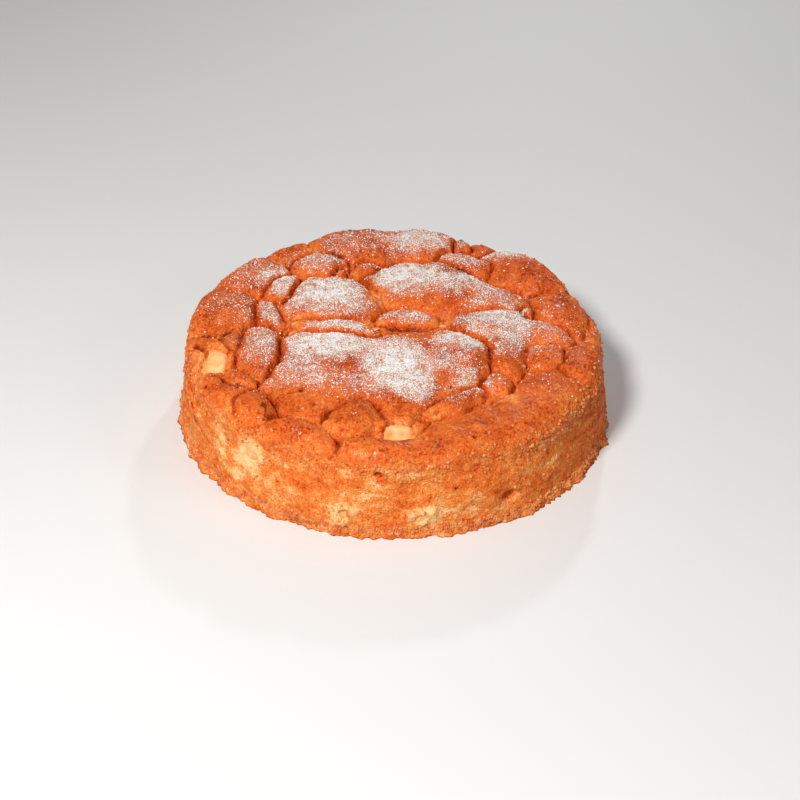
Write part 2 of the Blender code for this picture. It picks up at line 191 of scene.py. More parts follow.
RIM_LOBES = (
    RimLobe("right", "right", 15, 0.094, 17, 0.018, 0.0530),
    RimLobe("right_ledge", "right_ledge", 14, 0.108, 24, 0.011, 0.0490),
    RimLobe("back_right", "back_right", 42, 0.099, 19, 0.025, 0.0548),
    RimLobe("back_middle", "back", 81, 0.097, 15, 0.024, 0.0552),
    RimLobe("back", "back", 104, 0.096, 18, 0.027, 0.0550),
    RimLobe("back_right_flap", "back_right_flap", 69, 0.101, 7, 0.013, 0.0524),
    RimLobe("back_right_dip", "back_right_dip", 62, 0.105, 15, 0.018, 0.0506),
    RimLobe("back_left_dip", "back_left_dip", 125, 0.106, 13, 0.018, 0.0508),
    RimLobe("back_left", "back_left", 143, 0.100, 16, 0.026, 0.0520),
    RimLobe("left", "left", 171, 0.096, 16, 0.024, 0.0528),
    RimLobe("left_pinch", "left_pinch", 194.5, 0.108, 8, 0.010, 0.0500),
    RimLobe("left_low", "front_rim", 192, 0.104, 11, 0.017, 0.0492),
    RimLobe("left_front", "front_rim", 217, 0.105, 20, 0.018, 0.0502),
    RimLobe("front", "front_rim", 264, 0.109, 27, 0.016, 0.0484),
    RimLobe("front_right", "front_rim", 298, 0.100, 25, 0.024, 0.0494),
    RimLobe("right_front", "front_rim", 325, 0.099, 22, 0.026, 0.0504),
    RimLobe("right_low", "right_low", 346, 0.102, 14, 0.019, 0.0516),
)

SIDE_DENTS = (
    SideDent("left_pleat", 197, 0.030, 0.005, 0.022, 0.0020),
    SideDent("left_bulge", 208, 0.028, 0.010, 0.018, -0.0016),
    SideDent("front_left_hollow", 233, 0.024, 0.014, 0.010, 0.0016, 0.5),
    SideDent("front_left_crease", 251, 0.026, 0.006, 0.009, 0.0015, -0.9),
    SideDent("front_swelling", 259, 0.018, 0.016, 0.010, -0.0014),
    SideDent("front_hollow", 276, 0.030, 0.013, 0.008, 0.0015),
    SideDent("front_right_swelling", 292, 0.022, 0.018, 0.010, -0.0013),
    SideDent("right_pocket", 301, 0.0135, 0.006, 0.005, 0.0026),
    SideDent("right_hollow", 322, 0.030, 0.016, 0.010, 0.0014),
    SideDent("right_swelling", 345, 0.018, 0.018, 0.012, -0.0016),
    SideDent("back_right_hollow", 20, 0.026, 0.014, 0.012, 0.0018),
    SideDent("back_right_swelling", 47, 0.020, 0.018, 0.012, -0.0014),
    SideDent("back_hollow", 83, 0.028, 0.015, 0.009, 0.0016, 0.4),
    SideDent("back_swelling", 108, 0.020, 0.020, 0.012, -0.0015),
    SideDent("back_left_crease", 133, 0.026, 0.006, 0.012, 0.0015, 0.7),
    SideDent("back_left_hollow", 160, 0.022, 0.014, 0.010, 0.0015),
)

APPLE_PIECES = (
    ApplePiece("apple_left_rim", -0.0935, -0.0325, 0.0054, 0.0150, 0.0240, 0.013, -8, 20, 1.10),
    ApplePiece("apple_front", 0.0020, -0.0880, 0.0052, 0.0190, 0.0165, 0.013, 8, 26, 1.02),
    ApplePiece("apple_left_crease", -0.0535, 0.0050, 0.0030, 0.017, 0.012, 0.011, 42),
    ApplePiece("apple_middle_back", -0.0112, 0.0345, 0.0032, 0.016, 0.012, 0.011, 70),
    ApplePiece("apple_middle", -0.0105, 0.0050, 0.0032, 0.015, 0.013, 0.011, 20),
    ApplePiece("apple_right_crease", 0.0270, 0.0120, 0.0032, 0.017, 0.012, 0.011, 15),
    ApplePiece("apple_front_crease", -0.0310, -0.0905, 0.0014, 0.013, 0.011, 0.010, -35, 12, 0.50),
    ApplePiece("apple_front_right", 0.0215, -0.0745, 0.0014, 0.015, 0.011, 0.010, 35, 12, 0.50),
    ApplePiece("apple_right_front", 0.0600, -0.0610, 0.0012, 0.015, 0.012, 0.010, -40, 10, 0.50),
    ApplePiece("apple_back_left", -0.0520, 0.0895, 0.0010, 0.016, 0.012, 0.011, -32),
)

SIDE_APPLES = (
    SideApple("apple_side_left", 231, 0.0300, 0.017, 0.015, 0.009, 30),
    SideApple("apple_side_front", 258, 0.0125, 0.012, 0.010, 0.008, -20),
    SideApple("apple_side_middle", 277.5, 0.0110, 0.009, 0.013, 0.008, 15),
    SideApple("apple_side_back", 98, 0.0240, 0.017, 0.013, 0.009, -25),
    SideApple("apple_side_back_right", 28, 0.0160, 0.014, 0.011, 0.008, 20),
)


# What the oven, the sieve and the tin left on it.


@dataclass(frozen=True)
class DustPatch:
    """Where icing sugar fell: the middle of the patch on the crust, its reach, and how dense it is."""

    x: float
    y: float
    half_length: float
    half_width: float
    density: float


@dataclass(frozen=True)
class SidePatch:
    """A paler or, below zero, browner place in the side, where apple or a fold lay against the tin."""

    bearing_deg: float
    height: float
    half_width: float
    half_height: float
    paler: float
    lean: float = 0.0


@dataclass(frozen=True)
class Spot:
    """A small round place on the top crust."""

    x: float
    y: float
    radius: float


@dataclass(frozen=True)
class SideHole:
    """A small open hole in the side, where a bubble lay against the tin."""

    bearing_deg: float
    height: float
    half_width: float
    half_height: float
    depth: float


@dataclass(frozen=True)
class FootTag:
    """A tag of crust that stands out at the foot, where batter crept under the tin's ring."""

    bearing_deg: float
    reach: float
    half_width: float
    half_height: float


DUST_PATCHES = (
    DustPatch(-0.035, 0.029, 0.023, 0.020, 0.90),
    DustPatch(-0.032, 0.000, 0.028, 0.010, 0.62),
    DustPatch(-0.035, -0.019, 0.026, 0.016, 0.95),
    DustPatch(0.000, -0.037, 0.018, 0.024, 1.00),
    DustPatch(0.010, -0.058, 0.012, 0.012, 0.80),
    DustPatch(0.038, -0.0125, 0.020, 0.012, 0.78),
    DustPatch(0.028, -0.034, 0.016, 0.014, 0.36),
    DustPatch(0.041, -0.050, 0.012, 0.010, 0.66),
    DustPatch(-0.050, -0.038, 0.020, 0.022, 0.42),
    DustPatch(-0.020, -0.056, 0.026, 0.012, 0.26),
    DustPatch(0.006, 0.053, 0.021, 0.020, 0.93),
    DustPatch(0.038, 0.046, 0.022, 0.014, 0.60),
    DustPatch(0.056, 0.028, 0.020, 0.012, 0.38),
    DustPatch(0.0575, 0.009, 0.024, 0.014, 0.74),
    DustPatch(0.062, -0.014, 0.013, 0.014, 0.36),
    DustPatch(0.013, 0.094, 0.027, 0.014, 0.66),
    DustPatch(-0.028, 0.090, 0.022, 0.014, 0.24),
    DustPatch(0.040, 0.074, 0.020, 0.009, 0.42),
    DustPatch(0.066, 0.083, 0.016, 0.011, 0.75),
    DustPatch(-0.062, 0.046, 0.015, 0.014, 0.70),
    DustPatch(-0.043, 0.069, 0.022, 0.014, 0.40),
    DustPatch(-0.078, 0.056, 0.020, 0.020, 0.22),
    DustPatch(-0.088, 0.022, 0.020, 0.020, 0.15),
    DustPatch(-0.068, 0.012, 0.014, 0.016, 0.42),
    DustPatch(-0.071, -0.016, 0.014, 0.018, 0.42),
    DustPatch(0.084, -0.006, 0.018, 0.018, 0.22),
    DustPatch(0.030, -0.066, 0.020, 0.008, 0.20),
    DustPatch(0.006, 0.013, 0.018, 0.007, 0.50),
)

SIDE_PATCHES = (
    SidePatch(231, 0.029, 0.016, 0.013, 0.42, 0.5),
    SidePatch(228, 0.015, 0.013, 0.008, 0.24),
    SidePatch(220, 0.030, 0.005, 0.012, 0.32, -0.1),
    SidePatch(202, 0.011, 0.008, 0.012, 0.20),
    SidePatch(240, 0.012, 0.016, 0.010, 0.20, 0.6),
    SidePatch(259, 0.013, 0.013, 0.010, 0.26, 0.8),
    SidePatch(266, 0.030, 0.010, 0.007, 0.22),
    SidePatch(273, 0.036, 0.012, 0.006, 0.26),
    SidePatch(279, 0.011, 0.010, 0.012, 0.34, 0.3),
    SidePatch(291, 0.017, 0.022, 0.005, 0.26, -0.2),
    SidePatch(300, 0.012, 0.010, 0.006, 0.20),
    SidePatch(318, 0.020, 0.012, 0.010, 0.12),
    SidePatch(249, 0.026, 0.012, 0.008, -0.14, 0.8),
    SidePatch(268, 0.016, 0.010, 0.005, -0.12),
    SidePatch(287, 0.030, 0.026, 0.006, -0.10),
    SidePatch(310, 0.008, 0.016, 0.006, -0.10),
    SidePatch(98, 0.024, 0.018, 0.013, 0.36, -0.4),
    SidePatch(28, 0.016, 0.015, 0.011, 0.30, 0.4),
    SidePatch(58, 0.022, 0.020, 0.007, 0.18, 0.2),
    SidePatch(124, 0.014, 0.016, 0.008, 0.20),
    SidePatch(152, 0.028, 0.014, 0.010, 0.24, 0.3),
    SidePatch(176, 0.020, 0.012, 0.012, 0.16),
    SidePatch(80, 0.012, 0.016, 0.006, -0.12),
)

SIDE_HOLES = (
    SideHole(301.0, 0.0135, 0.0036, 0.0026, 0.0022),
    SideHole(266.6, 0.0355, 0.0024, 0.0014, 0.0022),
    SideHole(259.5, 0.0120, 0.0012, 0.0018, 0.0014),
    SideHole(286.0, 0.0260, 0.0010, 0.0009, 0.0012),
    SideHole(240.0, 0.0200, 0.0012, 0.0010, 0.0012),
    SideHole(120.0, 0.0260, 0.0018, 0.0013, 0.0016),
    SideHole(55.0, 0.0180, 0.0014, 0.0018, 0.0016),
)

FOOT_TAGS = (
    FootTag(344.0, 0.0022, 0.0040, 0.0045),
    FootTag(327.0, 0.0020, 0.0030, 0.0040),
    FootTag(321.5, 0.0013, 0.0022, 0.0030),
    FootTag(352.0, 0.0016, 0.0030, 0.0030),
    FootTag(213.0, 0.0020, 0.0042, 0.0050),
    FootTag(206.0, 0.0014, 0.0034, 0.0040),
    FootTag(224.0, 0.0015, 0.0030, 0.0030),
    FootTag(239.0, 0.0012, 0.0040, 0.0030),
    FootTag(256.0, 0.0011, 0.0035, 0.0025),
    FootTag(283.0, 0.0012, 0.0040, 0.0030),
    FootTag(306.0, 0.0014, 0.0030, 0.0035),
    FootTag(14.0, 0.0016, 0.0030, 0.0035),
    FootTag(33.0, 0.0024, 0.0024, 0.0040),
    FootTag(71.0, 0.0013, 0.0040, 0.0030),
    FootTag(95.0, 0.0020, 0.0026, 0.0040),
    FootTag(118.0, 0.0012, 0.0040, 0.0030),
    FootTag(147.0, 0.0022, 0.0028, 0.0040),
    FootTag(171.0, 0.0014, 0.0034, 0.0035),
    FootTag(190.0, 0.0012, 0.0030, 0.0030),
)

MOIST_SPOTS = (
    Spot(0.0777, -0.0465, 0.012),
    Spot(0.0480, -0.0665, 0.011),
    Spot(0.0600, -0.0700, 0.012),
    Spot(0.0930, -0.0330, 0.012),
    Spot(0.0000, -0.1100, 0.016),
    Spot(0.0229, -0.1073, 0.012),
    Spot(-0.0470, -0.0900, 0.012),
    Spot(-0.0300, -0.0790, 0.012),
    Spot(0.0780, 0.0060, 0.010),
)

BURST_BUBBLES = (
    Spot(0.0338, 0.0434, 0.0011),
    Spot(0.0264, -0.0345, 0.0011),
    Spot(0.0300, -0.0560, 0.0012),
    Spot(-0.0469, -0.0629, 0.0012),
    Spot(-0.0106, -0.0330, 0.0012),
    Spot(-0.0400, -0.0740, 0.0010),
    Spot(0.0560, -0.0180, 0.0009),
    Spot(-0.0700, 0.0560, 0.0010),
    Spot(0.0120, 0.0920, 0.0010),
    Spot(0.0860, 0.0300, 0.0011),
    Spot(-0.0960, -0.0560, 0.0010),
    Spot(0.0400, -0.0980, 0.0011),
)


# Small tools.


def flow(x: Floats, y: Floats, scale: float, seed: float) -> Floats:
    """Smooth noise over the top.

    Args:
        x: Places to the right.
        y: Places to the back.
        scale: Size of its waves.
        seed: Which noise it is.

    Returns:
        A value for each place, from about -1 to 1.
    """
    return np.array([noise.noise(Vector((a / scale, b / scale, seed))) for a, b in zip(x, y)])


def flow_in_space(places: Floats, scale: tuple[float, float, float], seed: float) -> Floats:
    """Smooth noise through space.

    Args:
        places: One row for each place.
        scale: Size of its waves along each axis.
        seed: Which noise it is.

    Returns:
        A value for each place, from about -1 to 1.
    """
    spread = places / np.array(scale) + seed
    return np.array([noise.noise(Vector(place)) for place in spread])


def ease(value: Floats, low: float, high: float) -> Floats:
    """A smooth step that is 0 at low and 1 at high."""
    share = np.clip((value - low) / (high - low), 0.0, 1.0)
    return share * share * (3.0 - 2.0 * share)


def turn_from(bearing: Floats, bearing_deg: float) -> Floats:
    """How far bearings turn from one bearing, the short way round.

    Args:
        bearing: The bearings, in radians.
        bearing_deg: The bearing that they are compared with, in degrees.

    Returns:
        The turns, from minus half a turn to half a turn, in radians.
    """
    return np.angle(np.exp(1j * (bearing - math.radians(bearing_deg))))


class Tree:
    """Adds nodes to one node tree and joins their sockets."""

    def __init__(self, tree: bpy.types.NodeTree) -> None:
        """Takes the tree that the nodes go into."""
        self.tree = tree

    def add(self, kind: str, **settings: object) -> bpy.types.Node:
        """Adds a node.

        Args:
            kind: The node's type name.
            settings: Its properties by name.

        Returns:
            The node.
        """
        node = self.tree.nodes.new(kind)
        for name, value in settings.items():
            setattr(node, name, value)
        return node

    def feed(self, socket: bpy.types.NodeSocket, value: object) -> None:
        """Joins a socket to another node's output, or sets its value."""
        if isinstance(value, bpy.types.NodeSocket):
            self.tree.links.new(value, socket)
        else:
            socket.default_value = value

    def math(self, operation: str, *terms: object) -> bpy.types.NodeSocket:
        """Works out a number.

        Args:
            operation: The Math node's operation.
            terms: Numbers or sockets.

        Returns:
            The result's socket.
        """
        node = self.add("ShaderNodeMath", operation=operation)
        for socket, term in zip(node.inputs, terms):
            self.feed(socket, term)
        return node.outputs[0]

    def vector(self, operation: str, first: object, second: object) -> bpy.types.NodeSocket:
        """Works out a vector from two vectors, or from a vector and a number to scale it by."""
        node = self.add("ShaderNodeVectorMath", operation=operation)
        self.feed(node.inputs[0], first)
        self.feed(node.inputs["Scale"] if operation == "SCALE" else node.inputs[1], second)
        return node.outputs[0]

    def noise(self, place: object, scale: object, seed: float, detail: float = 2.0) -> bpy.types.NodeSocket:
        """Noise from 0 to 1.

        Args:
            place: The socket of the place it is read at.
            scale: Waves in a metre.
            seed: Which noise it is.
            detail: How many finer layers it has.

        Returns:
            The noise's socket.
        """
        node = self.add("ShaderNodeTexNoise", noise_dimensions="4D")
        self.feed(node.inputs["Vector"], place)
        self.feed(node.inputs["W"], seed)
        self.feed(node.inputs["Scale"], scale)
        self.feed(node.inputs["Detail"], detail)
        return node.outputs[0]

    def cells(self, place: object, scale: object, seed: float,
              flat: bool = False) -> tuple[bpy.types.NodeSocket, object]:
        """Cells of random size.

        Args:
            place: The socket of the place they are read at.
            scale: Cells in a metre.
            seed: Which cells they are, as metres that the pattern is moved by.
            flat: Whether they are the same at every height.

        Returns:
            The distance to the cell's middle, in cells, and the cell's own random number.
        """
        node = self.add("ShaderNodeTexVoronoi", voronoi_dimensions="2D" if flat else "3D")
        self.feed(node.inputs["Vector"], self.vector("ADD", place, (seed, seed, 0.0)))
        self.feed(node.inputs["Scale"], scale)
        chance = self.add("ShaderNodeSeparateXYZ")
        self.feed(chance.inputs[0], node.outputs["Color"])
        return node.outputs["Distance"], chance.outputs[0]

    def step(self, value: object, low: object, high: object) -> bpy.types.NodeSocket:
        """A smooth step that is 0 at low and 1 at high."""
        node = self.add("ShaderNodeMapRange", interpolation_type="SMOOTHSTEP")
        for socket, number in zip(node.inputs, (value, low, high, 0.0, 1.0)):
            self.feed(socket, number)
        return node.outputs[0]

    def span(self, value: object, low: float, high: float) -> bpy.types.NodeSocket:
        """A number from 0 to 1 spread between low and high."""
        return self.math("MULTIPLY_ADD", value, high - low, low)

    def blend(self, share: object, first: object, second: object) -> bpy.types.NodeSocket:
        """A mix of two numbers."""
        node = self.add("ShaderNodeMix", data_type="FLOAT")
        for socket, value in zip((node.inputs[0], node.inputs[2], node.inputs[3]), (share, first, second)):
            self.feed(socket, value)
        return node.outputs[0]

    def tint(self, share: object, first: object, second: object, how: str = "MIX") -> bpy.types.NodeSocket:
        """A mix of two colours.

        Args:
            share: How much of the second.
            first: The colour below.
            second: The colour laid on it.
            how: The blend's name.

        Returns:
            The colour's socket.
        """
        node = self.add("ShaderNodeMix", data_type="RGBA", blend_type=how)
        for socket, value in zip((node.inputs[0], node.inputs[6], node.inputs[7]), (share, first, second)):
            self.feed(socket, value)
        return node.outputs[2]

    def ramp(self, value: object, stops: tuple[tuple[float, Colour], ...]) -> bpy.types.NodeSocket:
        """Colours along a number.

        Args:
            value: The number.
            stops: Places along it with their colours.

        Returns:
            The colour's socket.
        """
        node = self.add("ShaderNodeValToRGB")
        self.feed(node.inputs[0], value)
        elements = node.color_ramp.elements
        while len(elements) < len(stops):
            elements.new(0.5)
        for element, (place, colour) in zip(elements, stops):
            element.position = place
            element.color = colour
        return node.outputs[0]


class MaterialTree(Tree):
    """The nodes of one Principled material."""

    def __init__(self, name: str, preview: Colour) -> None:
        """Makes the material.

        Args:
            name: The finish's name.
            preview: The colour it has in a plain view.
        """
        self.material = bpy.data.materials.new(name)
        self.material.use_nodes = True
        self.material.diffuse_color = preview
        super().__init__(self.material.node_tree)
        self.shader = self.tree.nodes["Principled BSDF"]

    def place(self) -> bpy.types.NodeSocket:
        """The place on the piece."""
        return self.add("ShaderNodeTexCoord").outputs["Object"]

    def attribute(self, name: str) -> bpy.types.NodeSocket:
        """A number that the piece's mesh holds."""
        return self.add("ShaderNodeAttribute", attribute_name=name).outputs["Fac"]

    def set(self, **values: object) -> None:
        """Sets or joins the shader's sockets, named with _ for a space."""
        for name, value in values.items():
            self.feed(self.shader.inputs[name.replace("_", " ")], value)

    def bump(self, height: object, depth: float, *sockets: str) -> None:
        """Gives the finish a relief.

        Args:
            height: The relief's height, from 0 to 1.
            depth: How deep it is in metres.
            sockets: The shader's normals that it goes to, or none for the main one.
        """
        node = self.add("ShaderNodeBump")
        node.inputs["Distance"].default_value = depth
        self.feed(node.inputs["Height"], height)
        for socket in sockets or ("Normal",):
            self.feed(self.shader.inputs[socket], node.outputs[0])


class ShapeTree(Tree):
    """A Geometry Nodes tree with named inputs, which ends in plain geometry with its material."""

    def __init__(self, name: str, sizes: dict[str, float]) -> None:
        """Makes the tree.

        Args:
            name: Its name.
            sizes: Its number inputs, with their values.
        """
        super().__init__(bpy.data.node_groups.new(name, "GeometryNodeTree"))
        face = self.tree.interface
        face.new_socket("Geometry", in_out="OUTPUT", socket_type="NodeSocketGeometry")
        face.new_socket("Geometry", in_out="INPUT", socket_type="NodeSocketGeometry")
        self.sockets = {"Material": face.new_socket("Material", in_out="INPUT",
                                                    socket_type="NodeSocketMaterial").identifier}
        for size, value in sizes.items():
            made = face.new_socket(size, in_out="INPUT", socket_type="NodeSocketFloat")
            made.default_value = value
            self.sockets[size] = made.identifier
        self.sizes = sizes
        self.inputs = self.add("NodeGroupInput").outputs

    def end(self, geometry: bpy.types.NodeSocket) -> None:
        """Joins the last geometry to the output, realized and with its material."""
        realize = self.add("GeometryNodeRealizeInstances")
        self.feed(realize.inputs[0], geometry)
        finish = self.add("GeometryNodeSetMaterial")
        self.feed(finish.inputs["Geometry"], realize.outputs[0])
        self.feed(finish.inputs["Material"], self.inputs["Material"])
        self.feed(self.add("NodeGroupOutput").inputs[0], finish.outputs[0])

    def shape(self, name: str, source: bpy.types.Mesh, material: bpy.types.Material) -> bpy.types.Object:
        """Runs the tree on a mesh and keeps what it makes as a plain mesh.

        Args:
            name: The new piece's name.
            source: The mesh that the tree starts from.
            material: The finish it ends with.

        Returns:
            The new piece, with no modifier on it.
        """
        piece = bpy.data.objects.new(name, source)
        bpy.context.scene.collection.objects.link(piece)
        modifier = piece.modifiers.new(self.tree.name, "NODES")
        modifier.node_group = self.tree
        modifier[self.sockets["Material"]] = material
        for size, value in self.sizes.items():
            modifier[self.sockets[size]] = value
        graph = bpy.context.evaluated_depsgraph_get()
        made = bpy.data.meshes.new_from_object(piece.evaluated_get(graph), preserve_all_data_layers=True,
                                               depsgraph=graph)
        piece.modifiers.clear()
        piece.data = made
        made.name = name
        return piece


def triangles(piece: bpy.types.Object) -> int:
    """How many triangles a piece has."""
    return sum(len(face.vertices) - 2 for face in piece.data.polygons)


def dress(piece: bpy.types.Object, slot: Slot, *nodes: str) -> None:
    """Puts a finished piece on the cake.

    Args:
        piece: The piece.
        slot: Not used.
        nodes: The solids that it stands for.
    """
    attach(piece, "root")
    if nodes:
        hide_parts(*nodes)
    LOG.info("%s: %d triangles", piece.name, triangles(piece))


# Finishes.


@dataclass(frozen=True)
class CrustFinish:
    """Baked crust: golden to red-brown, with pores, moist spots and a fine dust of icing sugar."""

    pale: Colour = (0.92, 0.55, 0.250, 1.0)
    golden: Colour = (0.79, 0.280, 0.069, 1.0)
    orange: Colour = (0.75, 0.172, 0.030, 1.0)
    baked: Colour = (0.64, 0.110, 0.017, 1.0)
    brown: Colour = (0.40, 0.046, 0.005, 1.0)
    burnt: Colour = (0.13, 0.014, 0.003, 1.0)
    # The darker colour of the crust's small pits is painted shade.
    pore_shade: Colour = (0.36, 0.036, 0.0045, 1.0)
    veil: Colour = (0.64, 0.36, 0.215, 1.0)
    sugar: Colour = (0.82, 0.81, 0.81, 1.0)
    pore_shade_share: float = 0.46
    veil_share: float = 0.72
    dry_roughness: float = 0.56
    moist_roughness: float = 0.16
    sugar_roughness: float = 0.85
    relief_depth: float = 0.0010
    glaze_depth: float = 0.00036

    def tone(self, tree: MaterialTree, place: object) -> bpy.types.NodeSocket:
        """How brown the crust is, with the painted shade that the mesh's tone holds.

        Args:
            tree: The material's nodes.
            place: The place on the crust.

        Returns:
            The socket of a number from 0, pale, to 1, burnt.
        """
        shade = tree.attribute("tone")
        speckles = ((150, 1.0, 3.0, 0.50), (520, 2.0, 2.0, 0.75), (1400, 3.0, 1.0, 0.75))
        for scale, seed, detail, weight in speckles:
            speckle = tree.math("SUBTRACT", tree.noise(place, scale, seed, detail), 0.5)
            shade = tree.math("MULTIPLY_ADD", speckle, weight, shade)
        flat = tree.vector("MULTIPLY", place, (1.0, 1.0, 2.3))
        streaks = tree.math("SUBTRACT", tree.noise(flat, 105, 4.0, 4.0), 0.5)
        return tree.math("MULTIPLY_ADD", tree.math("MULTIPLY", streaks, tree.attribute("wall")), 0.9, shade)

    def pores(self, tree: MaterialTree, place: object) -> bpy.types.NodeSocket:
        """The pores of the crust.

        Args:
            tree: The material's nodes.
            place: The place on the crust.

        Returns:
            The socket of a number that is 1 in a pore and 0 round it.
        """
        open_crumb = tree.attribute("coarse")
        marks = None
        for scale, seed, rare in ((360, 5.0, 0.86), (780, 6.0, 0.76)):
            distance, chance = tree.cells(place, scale, seed)
            wanted = tree.math("MULTIPLY_ADD", open_crumb, -0.62, rare)
            radius = tree.math("MULTIPLY_ADD", tree.step(chance, wanted, 1.0), 0.16, 0.20)
            mark = tree.math("SUBTRACT", 1.0, tree.step(distance, tree.math("MULTIPLY", radius, 0.5), radius))
            mark = tree.math("MULTIPLY", mark, tree.math("GREATER_THAN", chance, wanted))
            marks = mark if marks is None else tree.math("MAXIMUM", marks, mark)
        return marks

    def dust(self, tree: MaterialTree, place: object) -> bpy.types.NodeSocket:
        """The finest icing sugar, which lies as specks.

        Args:
            tree: The material's nodes.
            place: The place on the crust.

        Returns:
            The socket of a number that is 1 under sugar and 0 on bare crust.
        """
        drift = tree.span(tree.noise(place, 170, 8.0, 4.0), -0.55, 2.35)
        powder = tree.math("MULTIPLY", tree.attribute("powder"), tree.math("MAXIMUM", drift, 0.12))
        shown = None
        layers = ((1000, 9.0, 0.30, 0.54, 0.85), (1600, 10.0, 0.36, 0.62, 0.70))
        for scale, seed, slimmest, widest, share in layers:
            distance, chance = tree.cells(place, scale, seed, flat=True)
            fallen = tree.step(tree.math("SUBTRACT", tree.math("MULTIPLY", powder, share), chance), 0.0, 0.10)
            radius = tree.math("MULTIPLY_ADD", tree.math("MINIMUM", powder, 1.3), widest - slimmest, slimmest)
            within = tree.math("SUBTRACT", radius, 0.10)
            specks = tree.math("SUBTRACT", 1.0, tree.step(distance, within, radius))
            specks = tree.math("MULTIPLY", specks, fallen)
            shown = specks if shown is None else tree.math("MAXIMUM", shown, specks)
        film = tree.math("MULTIPLY", tree.step(powder, 0.80, 1.40), 0.40)
        return tree.math("MAXIMUM", shown, tree.math("MAXIMUM", film, tree.math("MULTIPLY", powder, 0.03)))

    def material(self) -> bpy.types.Material:
        """Makes the material.

        Returns:
            The crust's material.
        """
        tree = MaterialTree("baked_crust", self.orange)
        place = tree.place()
        tone = self.tone(tree, place)
        pores = self.pores(tree, place)
        dust = self.dust(tree, place)
        crust = tree.ramp(tone, ((0.0, self.pale), (0.25, self.golden), (0.45, self.orange),
                                 (0.64, self.baked), (0.82, self.brown), (1.0, self.burnt)))
        # Pores are painted darker: painted shade in the small pits.
        crust = tree.tint(tree.math("MULTIPLY", pores, self.pore_shade_share), crust, self.pore_shade)
        veil = tree.math("MULTIPLY", tree.step(tree.attribute("powder"), 0.02, 0.85), self.veil_share)
        crust = tree.tint(veil, crust, self.veil)
        beads = tree.step(tree.noise(place, 420, 12.0), 0.48, 0.58)
        wet = tree.math("MULTIPLY", tree.attribute("moist"), beads)
        wet = tree.math("MULTIPLY", wet, tree.math("SUBTRACT", 1.0, pores))
        rough = tree.blend(wet, self.dry_roughness, self.moist_roughness)
        grain = tree.noise(place, 900, 14.0, 3.0)
        rough = tree.math("MULTIPLY_ADD", tree.math("SUBTRACT", grain, 0.5), 0.35, rough)
        height = tree.math("MULTIPLY_ADD", pores, -0.45, grain)
        height = tree.math("MULTIPLY_ADD", dust, 0.35, height)
        tree.set(Base_Color=tree.tint(dust, crust, self.sugar),
                 Roughness=tree.blend(dust, rough, self.sugar_roughness), Specular_IOR_Level=0.03,
                 Subsurface_Weight=0.10, Subsurface_Scale=0.003, Subsurface_Radius=(1.0, 0.45, 0.2),
                 Coat_Weight=wet, Coat_Roughness=0.10)
        tree.bump(height, self.relief_depth, "Normal")
        tree.bump(grain, self.glaze_depth, "Coat Normal")
        return tree.material


@dataclass(frozen=True)
class AppleFinish:
    """Baked apple: cream flesh, a little browner in streaks, moist and slightly clear."""

    flesh: Colour = (0.82, 0.45, 0.165, 1.0)
    light: Colour = (0.88, 0.61, 0.30, 1.0)
    browned: Colour = (0.74, 0.25, 0.050, 1.0)
    roughness: float = 0.34
    relief_depth: float = 0.0004

    def material(self) -> bpy.types.Material:
        """Makes the material.

        Returns:
            The apple's material.
        """
        tree = MaterialTree("baked_apple", self.flesh)
        place = tree.place()
        stretched = tree.vector("MULTIPLY", place, (1.0, 1.0, 0.35))
        fibres = tree.noise(stretched, 700, 21.0, 3.0)
        patches = tree.noise(place, 180, 22.0, 2.0)
        colour = tree.ramp(patches, ((0.30, self.light), (0.52, self.flesh), (0.72, self.browned)))
        colour = tree.tint(tree.math("MULTIPLY", tree.step(fibres, 0.50, 0.75), 0.5), colour, self.browned)
        rim = tree.step(tree.math("MULTIPLY_ADD", patches, 0.5, tree.attribute("edge")), 0.48, 1.14)
        tree.set(Base_Color=tree.tint(rim, colour, self.browned), Roughness=self.roughness,
                 Subsurface_Weight=0.25, Subsurface_Scale=0.004, Subsurface_Radius=(1.0, 0.6, 0.3),
                 Coat_Weight=0.5, Coat_Roughness=0.14)
        tree.bump(fibres, self.relief_depth)
        return tree.material


@dataclass(frozen=True)
class SugarFinish:
    """Icing sugar: matt white, each clump a little lighter or warmer."""

    white: Colour = (0.88, 0.86, 0.85, 1.0)
    warm: Colour = (0.84, 0.72, 0.66, 1.0)
    roughness: float = 0.8

    def material(self) -> bpy.types.Material:
        """Makes the material.

        Returns:
            The sugar's material.
        """
        tree = MaterialTree("icing_sugar", self.white)
        place = tree.place()
        tree.set(Base_Color=tree.ramp(tree.noise(place, 600, 31.0), ((0.42, self.white), (0.72, self.warm))),
                 Roughness=self.roughness, Subsurface_Weight=0.1, Subsurface_Scale=0.0005)
        tree.bump(tree.noise(place, 6000, 32.0), 0.0001)
        return tree.material


@dataclass(frozen=True)
class CrumbFinish:
    """Loose crumbs of the crust: golden to brown, dry and matt."""

    light: Colour = (0.80, 0.36, 0.11, 1.0)
    middle: Colour = (0.70, 0.20, 0.045, 1.0)
    dark: Colour = (0.42, 0.08, 0.018, 1.0)
    roughness: float = 0.62

    def material(self) -> bpy.types.Material:
        """Makes the material.

        Returns:
            The crumbs' material.
        """
        tree = MaterialTree("crust_crumb", self.middle)
        place = tree.place()
        tree.set(Base_Color=tree.ramp(tree.noise(place, 240, 41.0, 3.0),
                                      ((0.30, self.light), (0.50, self.middle), (0.72, self.dark))),
                 Roughness=self.roughness, Subsurface_Weight=0.1, Subsurface_Scale=0.002)
        tree.bump(tree.noise(place, 2200, 42.0), 0.0003)
        return tree.material


